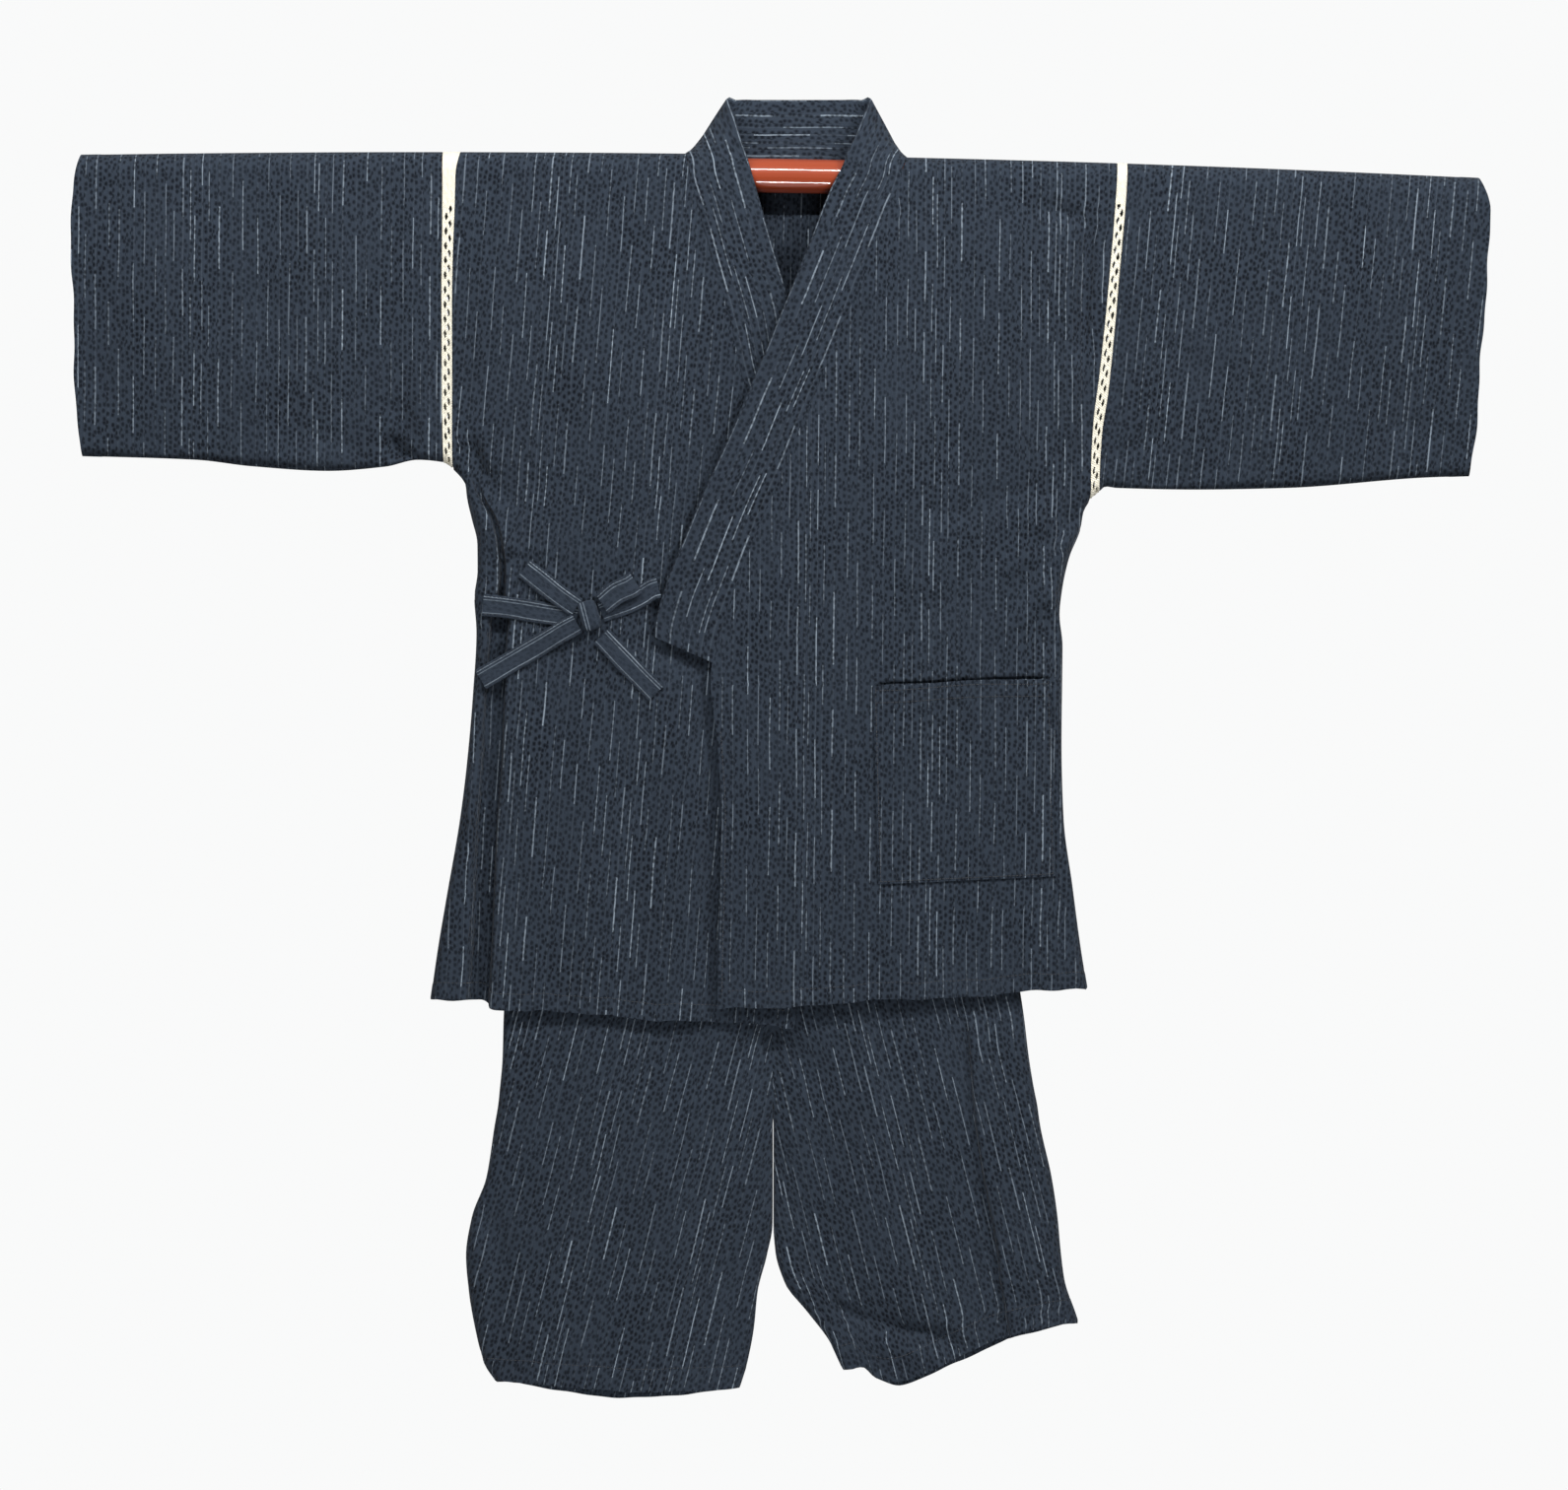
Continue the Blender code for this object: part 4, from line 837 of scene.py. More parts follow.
class Finish:
    """A material and the nodes that make it up."""

    def __init__(self, name, **shader):
        self.material = bpy.data.materials.new(name)
        self.material.use_nodes = True
        self.nodes, self.links = self.material.node_tree.nodes, self.material.node_tree.links
        self.shader = self.nodes["Principled BSDF"]
        for socket, value in shader.items():
            self.shader.inputs[socket.replace("_", " ").title().replace("Ior", "IOR")].default_value = value

    def add(self, kind, settings=None, sockets=None):
        """A node of this kind, its settings made first, then its sockets given values or links."""
        node = self.nodes.new(kind)
        for name, value in (settings or {}).items():
            if name == "stops":
                ramp = node.color_ramp
                ramp.interpolation = settings.get("blend", "LINEAR")
                while len(ramp.elements) < len(value):
                    ramp.elements.new(1)
                for stop, (at, colour) in zip(ramp.elements, value):
                    stop.position = at
                    stop.color = (*colour, 1)
            elif name != "blend":
                setattr(node, name, value)
        for name, value in (sockets or {}).items():
            self.join(value, node.inputs[name])
        return {socket.name: Amount(self, socket) for socket in reversed(node.outputs) if socket.enabled}

    def join(self, value, socket):
        if isinstance(value, Amount):
            self.links.new(value.socket, socket)
        elif isinstance(value, tuple) and socket.type == "RGBA":
            socket.default_value = (*value, 1)
        else:
            socket.default_value = value

    def blend(self, amount, first, second, kind="MIX"):
        """Colour `first` where the amount is 0 and `second` where it is 1."""
        made = self.add(
            "ShaderNodeMix", {"data_type": "RGBA", "blend_type": kind}, {0: amount, 6: first, 7: second}
        )
        return made["Result"]

    def place(self, x, y, z=0.0):
        return self.add("ShaderNodeCombineXYZ", None, {0: x, 1: y, 2: z})["Vector"]

    def noise(self, where, scale, detail=2.0, rough=0.5):
        sockets = {"Vector": where, "Scale": scale, "Detail": detail, "Roughness": rough}
        return self.add("ShaderNodeTexNoise", None, sockets)["Fac"]

    def bump(self, height, distance, strength=1.0, under=None):
        sockets = {"Height": height, "Distance": distance, "Strength": strength}
        if under is not None:
            sockets["Normal"] = under
        return self.add("ShaderNodeBump", None, sockets)["Normal"]

    def cut(self):
        """Where a point lies in the flat cloth: across the weave and down it."""
        marks = self.add("ShaderNodeUVMap", {"uv_map": "cut"})["UV"]
        apart = self.add("ShaderNodeSeparateXYZ", None, {0: marks})
        return apart["X"], apart["Y"]

    def show(self, **sockets):
        for name, value in sockets.items():
            self.join(value, self.shader.inputs[name.replace("_", " ").title()])
        return self.material


# The woven stripes: how far each pale thread lies across one repeat of the cloth, and its strength.
REPEAT = 0.111
Thread = namedtuple("Thread", "at strength")
THREADS = rows(
    Thread,
    (0.001, 0.7),
    (0.0085, 0.5),
    (0.0165, 0.9),
    (0.0232, 1.0),
    (0.0272, 0.85),
    (0.0335, 0.95),
    (0.0398, 0.6),
    (0.049, 0.8),
    (0.061, 0.55),
    (0.07, 0.75),
    (0.0834, 0.9),
    (0.093, 0.55),
    (0.1035, 0.65),
)
THREAD_WIDTH = 0.00095
# The length of cloth that holds one dash of each thread, and the size of a crinkle's pit.
DASH = 0.105
PIT_WIDTH, PIT_LENGTH = 0.0043, 0.0060
SLATE = (0.0345, 0.0465, 0.066)
# The pits' colour is painted shade: far darker than the slate, where the crinkle sinks in.
PIT = (0.0065, 0.0090, 0.0142)
PALE = (0.27, 0.325, 0.385)
# The ties are cut from a strip with two threads close together and one apart.
TIE_THREADS = rows(Thread, (0.0028, 0.80), (0.0146, 0.75), (0.0172, 0.95))


def cotton(name, threads=THREADS, solid=0.06, pitted=1.0):
    """Crinkled navy cotton: slate ground, sunk pits in staggered rows whose dark colour is painted shade, and
    broken pale threads.
    """
    made = Finish(name, roughness=0.95, sheen_weight=0.05, sheen_roughness=0.5, specular_ior_level=0.1)
    u, v = made.cut()
    wander = made.noise(made.place(u * 9, v * 14), 1.0, 1.0) - 0.5
    across = (u + wander * 0.0022) / REPEAT
    turn, where = across.floor(), across.part()
    stops = [(0.0, (0, 0, 0))]
    for i, thread in enumerate(threads):
        on = (thread.at - THREAD_WIDTH / 2) / REPEAT
        stops.append((max(on, 0.0002), (thread.strength, (i + 1) / (len(THREADS) + 1), 0)))
        stops.append((on + THREAD_WIDTH / REPEAT, (0, 0, 0)))
    chart = made.add("ShaderNodeValToRGB", {"blend": "CONSTANT", "stops": stops}, {0: where})["Color"]
    marked = made.add("ShaderNodeSeparateColor", None, {0: chart})
    line, seed = marked["Red"], marked["Green"]
    down_cloth = v / DASH + seed * 37.3 + turn * 5.37
    cell, part = down_cloth.floor(), down_cloth.part()
    chance = made.add(
        "ShaderNodeTexWhiteNoise", {"noise_dimensions": "3D"}, {0: made.place(seed * 91, cell, turn)}
    )
    chances = made.add("ShaderNodeSeparateColor", None, {0: chance["Color"]})
    start = chances["Red"] * 0.36
    dash = (part > start) * (part < start + 0.34 + chances["Green"] * 0.30)
    pale = line * (dash * (0.45 + chances["Blue"] * chances["Blue"] * 0.55)).most(solid)

    column = u / PIT_WIDTH
    staggered = made.place(column, v / PIT_LENGTH + column.floor() * 0.5)
    pits = made.add(
        "ShaderNodeTexVoronoi",
        {"voronoi_dimensions": "2D", "feature": "F1"},
        {"Vector": staggered, "Scale": 1.0, "Randomness": 0.65},
    )["Distance"]
    patch = made.noise(made.place(u * 24, v * 15), 1.0, 2.0)
    deep = made.add(
        "ShaderNodeMapRange", {"interpolation_type": "SMOOTHSTEP"}, {0: pits, 1: 0.52, 2: 0.08}
    )["Result"]
    deep = deep * (0.30 + patch * 1.1) * pitted
    fibre = made.noise(made.place(u * 1500, v * 700), 1.0, 2.0)
    streak = made.noise(made.place(u * 420, v * 22), 1.0, 2.0)
    cloudy = made.noise(made.place(u * 11, v * 7), 1.0, 2.0)
    darkest, dark, dull, light = (tuple(c * share for c in SLATE) for share in (0.55, 0.62, 0.66, 1.34))
    ground = made.blend(fibre, dull, light)
    ground = made.blend((streak * 2 - 0.55) * 0.5, ground, darkest)
    ground = made.blend(cloudy * 0.35, ground, dark)
    # Painted shade: the pits are coloured dark where the bump sinks them, and the pale threads are dimmed
    # there too.
    ground = made.blend(deep, ground, PIT)
    colour = made.blend(pale * (1 - deep * 0.75) * (0.6 + fibre * 0.8), ground, PALE)
    raised = 1 - deep + fibre * 0.12 + pale * 0.2 + streak * 0.3
    return made.show(base_color=colour, normal=made.bump(raised, 0.0009, 1.0))


def lace_finish():
    made = Finish("cream_lace", roughness=0.72, sheen_weight=0.3, sheen_roughness=0.4)
    u, v = made.cut()
    fibre = made.noise(made.place(u * 2600, v * 1500), 1.0, 3.0)
    cord = made.add(
        "ShaderNodeTexWave",
        {"wave_type": "BANDS", "bands_direction": "DIAGONAL"},
        {"Vector": made.place(u * 300, v * 300), "Scale": 1.0, "Distortion": 1.6, "Detail": 2.0},
    )["Fac"]
    soil = made.noise(made.place(u * 60, v * 25), 1.0, 2.0)
    colour = made.blend(fibre, (0.80, 0.75, 0.60), (0.99, 0.96, 0.84))
    # Painted shade: darker between the raised cords, where the bump is low.
    colour = made.blend((1 - cord) * 0.3, colour, (0.62, 0.54, 0.36))
    colour = made.blend(soil * 0.2, colour, (0.93, 0.90, 0.78))
    return made.show(base_color=colour, normal=made.bump(cord * 0.8 + fibre * 0.5, 0.0004, 0.9))


def tape_finish():
    made = Finish("undyed_tape", roughness=0.85, sheen_weight=0.2)
    u, v = made.cut()
    rib = ((v / 0.0011 + (u / 0.0022).part().size()).part() - 0.5).size() * 2
    fibre = made.noise(made.place(u * 1500, v * 1500), 1.0, 2.0)
    colour = made.blend(fibre, (0.56, 0.54, 0.48), (0.80, 0.78, 0.72))
    # Painted shade: darker in the grooves between the ribs, where the bump is low.
    colour = made.blend(rib * 0.3, colour, (0.48, 0.46, 0.40))
    return made.show(base_color=colour, normal=made.bump(1 - rib + fibre * 0.4, 0.0003, 0.8))


def lacquer_finish():
    """Glossy orange-red lacquer on turned wood, a little uneven, with dulled brush lines."""
    made = Finish(
        "orange_lacquer", roughness=0.4, specular_ior_level=0.2,
        coat_weight=1.0, coat_roughness=0.04, coat_ior=1.8,
    )
    where = made.add("ShaderNodeTexCoord")["Object"]
    long = made.add("ShaderNodeMapping", None, {"Vector": where, "Scale": (6.0, 160.0, 160.0)})["Vector"]
    grain = made.noise(long, 1.0, 4.0, 0.6)
    cloud = made.noise(where, 26.0, 3.0)
    colour = made.blend(grain, (0.31, 0.044, 0.014), (0.42, 0.076, 0.025))
    colour = made.blend(cloud * 0.4, colour, (0.27, 0.038, 0.013))
    return made.show(base_color=colour, roughness=0.30 + cloud * 0.06)


def thread_finish():
    made = Finish("navy_thread", roughness=0.6, sheen_weight=0.3)
    where = made.add("ShaderNodeTexCoord")["Object"]
    twist = made.noise(where, 2400.0, 2.0)
    return made.show(
        base_color=made.blend(twist, (0.006, 0.008, 0.012), (0.022, 0.027, 0.038)),
        normal=made.bump(twist, 0.0002, 0.6),
    )


def grid_normals(grid):
    normal = np.cross(np.gradient(grid, axis=1), np.gradient(grid, axis=0))
    return normal / np.maximum(np.linalg.norm(normal, axis=2, keepdims=True), 1e-12)


def add_mesh(name, points, faces, uv, finish, shown_as, caps=()):
    """A finished piece that stands for CAD nodes, its cloth marks kept in the UV map `cut`."""
    used, faces = np.unique(faces, return_inverse=True)
    points, faces = points[used], faces.reshape(-1, 4)
    mesh = bpy.data.meshes.new(name)
    ends = [np.searchsorted(used, cap).tolist() for cap in caps]
    mesh.from_pydata(points.tolist(), [], faces.tolist() + ends)
    if uv is not None:
        corners = np.empty(len(mesh.loops), np.int32)
        mesh.loops.foreach_get("vertex_index", corners)
        mesh.uv_layers.new(name="cut").data.foreach_set("uv", uv[used][corners].astype(np.float32).ravel())
    mesh.materials.append(finish)
    mesh.shade_smooth()
    mesh.set_sharp_from_angle(angle=math.radians(50))
    piece = bpy.data.objects.new(name, mesh)
    bpy.context.scene.collection.objects.link(piece)
    return as_piece(piece, shown_as)


def as_piece(piece, shown_as):
    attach(piece, "root")
    if shown_as:
        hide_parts(*shown_as)
    return piece


def quads(rows, columns):
    i, j = np.arange(rows - 1)[:, None] * columns, np.arange(columns - 1)[None]
    return np.stack((i + j, i + j + 1, i + j + columns + 1, i + j + columns), -1).reshape(-1, 4)


def cloth_shell(name, grid, marks, thick, finish, slot="cloth", shown_as=(), kept=slice(None)):
    """A closed wall about a grid of points (rows, columns, 3); thick is one size or a grid of them."""
    rows, columns = grid.shape[:2]
    half = np.broadcast_to(np.asarray(thick) / 2, (rows, columns))[..., None] * grid_normals(grid)
    points = np.concatenate(((grid + half).reshape(-1, 3), (grid - half).reshape(-1, 3)))
    outer = quads(rows, columns)[kept]
    count = rows * columns
    start, end = outer.ravel(), np.roll(outer, -1, axis=1).ravel()
    free = ~np.isin(start * count + end, end * count + start)
    start, end = start[free], end[free]
    rim = np.stack((end, start, start + count, end + count), -1)
    faces = np.concatenate((outer, outer[:, ::-1] + count, rim))
    uv = np.concatenate((marks.reshape(-1, 2),) * 2)
    return add_mesh(name, points, faces, uv, finish, shown_as)


# How far hems are turned up. Two sewn edges pass each other by MEET, so that no light shows between.
HEM, LEG_HEM = 0.015, 0.021
MEET = 0.00008
# The lace's openings: one to each step down a column, and their size.
LACE_STEP, LENS_WIDTH, LENS_LENGTH = 0.0132, 0.0028, 0.0066
# The thickness that a line of sewing lies on, on the body and on the pocket.
SEWN, SEWN_POCKET = 0.0012, 0.0016


def sample(grid, down_at, across_at):
    """The grid's values at fractional places down and across it."""
    down_at, across_at = np.broadcast_arrays(np.asarray(down_at, float), np.asarray(across_at, float))
    i = np.clip(np.floor(down_at).astype(int), 0, grid.shape[0] - 2)
    j = np.clip(np.floor(across_at).astype(int), 0, grid.shape[1] - 2)
    a, b = (down_at - i)[..., None], (across_at - j)[..., None]
    return mix(mix(grid[i, j], grid[i, j + 1], b), mix(grid[i + 1, j], grid[i + 1, j + 1], b), a)


def seam_on(grid, down_at, across_at, facing, thick):
    """Points and outward directions along a line of sewing on a wall."""
    normal = grid_normals(grid)
    normal = normal * np.where(normal[..., 1:2] * facing < 0, -1, 1)
    points, out = sample(grid, down_at, across_at), sample(normal, down_at, across_at)
    return points + out * (thick / 2), out


def above_hem(grid, height):
    """Every column's fractional row at this height over the hem."""
    rise = grid[:, :, 2] - grid[-1:, :, 2]
    upward = np.arange(len(grid))[::-1]
    return np.array([np.interp(height, rise[::-1, j], upward) for j in range(grid.shape[1])])


def sewn_hem(grid, height, facing, margin=2):
    columns = np.arange(margin, grid.shape[1] - margin)
    return seam_on(grid, above_hem(grid, height)[columns], columns, facing, SEWN)


def hem_thickness(grid, height, base=0.0012, turned=0.0006):
    """Thicker where the hem is turned up, and pulled in along its line of sewing."""
    rise = grid[:, :, 2] - grid[-1:, :, 2]
    puff = base + turned * ease((height - rise) / 0.002 + 0.5)
    return puff - 0.0005 * np.exp(-(((rise - height) / 0.0011) ** 2))


def hem_wave(x, z, low, seed, size=0.0011):
    """The uneven drop of a hem."""
    wave = np.sin(x * 43 + seed) + 0.6 * np.sin(x * 97 + 2.3 * seed) + 0.35 * np.sin(x * 211 + seed)
    return z - size * wave * ease(1 - (z - low) / 0.05)


def hem_step(x, z):
    """The under front's hem drops beside the side valley, and less towards the opening."""
    return 0.008 * ease((x + 0.272) / 0.018) * (0.0098 - x).clip(0, 0.262) / 0.262 * ease((-z - 0.60) / 0.14)


def jacket_grid(stops_of, heights, spacings, depth, facing, first_angle, seed):
    """A panel's points: first over the rod, then down to the hem, the right front's valley leaning over."""
    over = even(16)
    share = 1 - np.cos(np.radians(np.maximum(mix(-SHOULDER_ANGLE, 90, over), 0)))[:, None]
    top, level = stops_of(np.array([0.018])), stops_of(np.array([0.0]))
    above = spread([mix(a, b, share) for a, b in zip(top, level)], spacings)[..., 0]
    arc = over_rod(above, mix(first_angle(above), 90, over[:, None]), facing)
    low = spread(stops_of(heights), spacings)
    x, z = low[..., 0], hang_z(low[..., 0], low[..., 1])
    z = hem_wave(x, z, z[-1], seed)
    if stops_of is right_stops:
        z = z - hem_step(x, z)
    over_it = np.sqrt(np.maximum(WRAP**2 - (z - axis_z(x)) ** 2, 0))
    y = facing * np.maximum(depth(x, z) - MEET, over_it)
    if stops_of is right_stops:
        beside = (x - flow(RIGHT_FRONT, "side_z", z, "fold_x") - 0.0135) / 0.0045
        x = x - 0.0040 * np.exp(-(beside**2)) * ease((-z - 0.39) / 0.03)
    return np.concatenate((arc, np.stack((x, y, z), -1)))


def right_stops(z):
    side_x, fold_x, front_x, front_z = columns_of(RIGHT_FRONT, "side_z", z, "side_x fold_x front_x front_z")
    inner = side_x + np.minimum(SIDE_ROUND, 0.6 * (fold_x - side_x))
    beside = [place(x, z) for x in (side_x, inner, fold_x, fold_x + 0.017)]
    return beside + [place(front_x - NECK_GAP, front_z)]


def left_stops(z):
    side_x, fold_x, front_x, front_z = columns_of(LEFT_FRONT, "side_z", z, "side_x fold_x front_x front_z")
    return [
        place(front_x + NECK_GAP, front_z),
        place(fold_x, mix(z, front_z, 0.1)),
        place(side_x - SIDE_ROUND, z),
        place(side_x, z),
    ]


def back_stops(table, inward, neck_x):
    low_z = table[-1].side_z

    def stops_of(z):
        side_x = flow(table, "side_z", z, "side_x")
        centre = mix(BACK_NECK_X, BACK_HEM_X, np.clip(-z / 0.75, 0, 1))
        centre_z = z * BACK_HEM_Z / low_z
        between = mix(neck_x, mix(side_x, centre, 0.65), ease(-z / 0.5))
        return [
            place(side_x, z),
            place(side_x + inward * SIDE_ROUND, z),
            place(between, mix(z, centre_z, 0.65)),
            place(centre + inward * MEET, centre_z),
        ]

    return stops_of


def back_start(x):
    """Where the back begins behind the ridge: at the shoulder seam, or lower along the neckline."""
    inward = np.where(x < BACK_NECK_X, x - RIGHT_NECK_X, LEFT_NECK_X - x)
    neck = mix(SHOULDER_ANGLE + 1.6, 30.0, ease(inward / 0.010))
    return mix(neck, NECK_ANGLE, ease((inward - 0.008) / 0.020))


def front_start(x):
    return np.full_like(x, -SHOULDER_ANGLE)


# Lines of sewing, each a run of points and outward directions, which add_sewing turns into stitches.
sewing = []


def add_jacket(finish):
    """The four panels: the lines they lie between, their depth and start, their weave's lean and middle."""
    right_back, left_back = back_stops(RIGHT_FRONT, 1, RIGHT_NECK_X), back_stops(LEFT_FRONT, -1, LEFT_NECK_X)
    valley = (eased(6), mirrored(eased(14)), even(13), even(62))
    plain, back = (even(70), even(5), mirrored(eased(7))), (eased(6), even(36), even(16))
    panels = (
        ("right_front", right_stops, RIGHT_FRONT, valley, right_front_depth, -1, front_start, 4.7, -0.16, 0.3),
        ("left_front", left_stops, LEFT_FRONT, plain, left_front_depth, -1, front_start, 0.6, 0.12, 1.1),
        ("right_back", right_back, RIGHT_FRONT, back, back_depth, 1, back_start, 1.2, -0.12, 2.2),
        ("left_back", left_back, LEFT_FRONT, back, back_depth, 1, back_start, 1.2, 0.12, 2.2),
    )
    for name, stops_of, table, spacings, depth, facing, start, lean, middle_x, seed in panels:
        heights = down(table[-1].side_z)
        if name == "left_front":
            mouth = np.arange(-0.4470, -0.4640, -0.0012)
            heights = np.concatenate((heights[heights > -0.4465], mouth, heights[heights < -0.4640]))
        grid = jacket_grid(stops_of, heights, spacings, depth, facing, start, seed)
        thick = hem_thickness(grid, HEM)
        thick[-1] *= 0.6
        marks = cut_marks(grid, lean, middle_x)
        piece = cloth_shell(name + "_cloth", grid, marks, thick, finish, shown_as=(name,))
        piece_area(grid)
        sewing.append(sewn_hem(grid, HEM, facing))
        if name == "left_front":
            edge = np.arange(len(grid) - 66, len(grid) - 1)
            sewing.append(seam_on(grid, edge, np.full(len(edge), 0.9), facing, SEWN))


def piece_area(grid):
    """The flat area of a cut piece, measured over its grid."""
    a, b = grid[1:, 1:] - grid[:-1, :-1], grid[1:, :-1] - grid[:-1, 1:]
    return float(np.linalg.norm(np.cross(a, b), axis=2).sum() / 2)


def arm_grid(x_of, underarm, shares, low_z, rise, arc, folds, seed):
    """Rings round the rod and the arm's hollow: from the underarm up the front, then down the back."""
    shares = np.asarray(shares)[:, None]
    low = flow(underarm, "x", x_of(np.full_like(shares, low_z), shares), "z")
    z = np.concatenate((low + SIDE_ROUND * eased(7), mix(low + SIDE_ROUND, 0.0, even(rise))), 1)
    x = x_of(z, shares)
    body = WRAP * closing(z - low, SIDE_SHARE, SIDE_REACH, SIDE_ROUND)
    fade = ease((z - low) / 0.006) * ease(-z / 0.03)
    front = body + (SLEEVE_GAIN * creases(folds, x, z) + puckers(x, z, seed)) * fade
    back = body + (creases(folds, x + 0.023, z * 0.94 - 0.006) + puckers(x, z, seed + 1.4)) * fade
    drop = hang_z(x, z)
    angle = np.linspace(90, -90, arc)[None]
    ridge = over_rod(x_of(WRAP * np.cos(np.radians(angle)), shares), angle, -1)
    wall = [np.stack((x, facing * (deep - MEET), drop), -1) for facing, deep in ((-1, front), (1, back))]
    return np.concatenate((wall[0], ridge, wall[1][:, ::-1]), 1)


def arm_marks(grid, lean):
    """Marks that follow the weave round an arm, from the ridge over the rod down both sides."""
    v = running_across(grid)
    v -= v[:, grid.shape[1] // 2][:, None]
    return np.stack((grid[:, :, 0] - math.tan(math.radians(lean)) * v, np.abs(v)), -1)


def add_sleeve(side, arm, underarm, outward, folds, lean, finish):
    def sleeve_x(z, share):
        lace_x, cuff_x = columns_of(arm, "z", z, "lace_x cuff_x")
        cuff_x = cuff_x + outward * (0.0007 * np.sin(z * 55 + outward) + 0.0004 * np.sin(z * 131))
        return mix(lace_x + outward * 0.0004, cuff_x, share)

    shares = np.concatenate((even(84) * 0.93, mix(0.93, 1.0, np.linspace(0, 1, 12))))
    grid = arm_grid(sleeve_x, underarm, shares, arm[-1].z, 68, 27, folds, 0.9 + outward)
    if outward < 0:
        grid = grid[::-1]
        shares = shares[::-1]
    thick = 0.0012 + 0.0005 * ease((shares - 0.94) / 0.01)[:, None] + 0 * grid[:, :, 0]
    marks = arm_marks(grid, lean)
    piece = cloth_shell(side + "_sleeve_cloth", grid, marks, thick, finish, shown_as=(side + "_sleeve",))
    piece_area(grid)


def add_lace(side, arm, front, underarm, outward, finish):
    """A band of lace between armhole and sleeve: two staggered columns of openings with raised rims."""
    def lace_between(z, share):
        return mix(flow(front, "side_z", z, "side_x") + outward * 0.0001, flow(arm, "z", z, "lace_x"), share)

    grid = arm_grid(lace_between, underarm, np.linspace(0, 1, 37), arm[-1].z, 240, 55, (), 0.0)
    along = running_across(grid)[len(grid) // 2]
    wide = np.linalg.norm(grid[-1] - grid[0], axis=1)
    ridge = along[len(along) // 2]
    below_rod = grid[:, :, 2] < -0.028
    share = np.linspace(0, 1, 37)[:, None]
    hole = np.zeros(grid.shape[:2], bool)
    rib = np.zeros(grid.shape[:2])
    for column, start in ((0.34, -0.25), (0.66, 0.25)):
        t = (((along - ridge) / LACE_STEP + start + 0.5) % 1 - 0.5) * LACE_STEP
        off = (share - column) * wide[None]
        lens = LENS_WIDTH / 2 * np.maximum(1 - (t / (LENS_LENGTH / 2)) ** 2, 0)[None] * below_rod
        hole |= (np.abs(off) < lens) & (lens > 0.0003)
        round_lens = (off / (LENS_WIDTH * 0.75)) ** 2 + (t[None] / (LENS_LENGTH * 0.68)) ** 2
        rib += np.exp(-((np.sqrt(round_lens) - 1) / 0.35) ** 2)
    cell = (hole[1:, 1:].astype(int) + hole[:-1, 1:] + hole[1:, :-1] + hole[:-1, :-1]).ravel()
    border = np.exp(-(((share - 0.08) / 0.06) ** 2)) + np.exp(-(((share - 0.92) / 0.06) ** 2))
    ripple = np.sin(2 * np.pi * along / 0.0019)[None] * (0.4 + 0.6 * border)
    thick = 0.0009 + 0.0009 * border + 0.0009 * np.minimum(rib, 1) + 0.00030 * ripple
    thick[[0, -1]] *= 0.4
    marks = np.stack(np.broadcast_arrays(share * wide[None], along[None]), -1)
    name = side + "_lace"
    piece = cloth_shell(name + "_band", grid, marks, thick, finish, "lace", (name,), kept=cell < 2)


def through(points, step):
    """Points at this spacing on a smooth line through the given ones, by their first three numbers."""
    points = np.asarray(points, float)
    s = running(points[:, :3])
    slope = np.gradient(points, s, axis=0)
    at = np.linspace(0, s[-1], max(int(s[-1] / step), 2) + 1)
    i = np.clip(np.searchsorted(s, at) - 1, 0, len(s) - 2)
    size = (s[i + 1] - s[i])[:, None]
    t = (at - s[i])[:, None] / size
    held = points[i] * (1 + 2 * t) * (1 - t) ** 2 + points[i + 1] * t * t * (3 - 2 * t)
    return held + size * (slope[i] * t * (1 - t) ** 2 - slope[i + 1] * t * t * (1 - t))


def padded_edge(t, full, share, least=0.0003):
    """Thickness across a folded strip, rounded off at both of its edges."""
    beyond = np.clip((np.abs(2 * t - 1) - 1 + share) / share, 0, 1)
    return np.maximum(full * np.sqrt(1 - beyond**2), least)


def crowded(count, share):
    """Places across a strip, closer together near both edges."""
    near = share * (1 - np.cos(np.pi / 2 * np.linspace(0, 1, 5)))
    return np.concatenate((near[:-1], np.linspace(share, 1 - share, count), 1 - near[-2::-1]))


def band_rows(bands, table, lift):
    """The collar's rows on one side: seam, free edge, whether it lies on a front, and on which."""
    made = []
    for row in bands:
        seam_x = float(flow(table, "front_z", row.seam_z, "front_x"))
        seam_z, edge_z = hang_z(seam_x, row.seam_z), hang_z(row.edge_x, row.edge_z)
        seam_y, edge_y = (
            float(-jacket_depth(x, min(z, 0)) - lift * lap(x, min(z, 0)))
            for x, z in ((np.array(seam_x), seam_z), (np.array(row.edge_x), edge_z))
        )
        made.append((seam_x, seam_y, seam_z, row.edge_x, edge_y, edge_z, 1, lift))
    return made


def neck_row(row):
    turn, radius = math.radians(row.angle), WRAP + SEAM
    seam_z = axis_z(row.seam_x) + radius * math.cos(turn)
    lift = 0 if row.seam_x < 0 else 1
    return row.seam_x, -radius * math.sin(turn), seam_z, row.edge_x, row.edge_y, row.edge_z, 0, lift


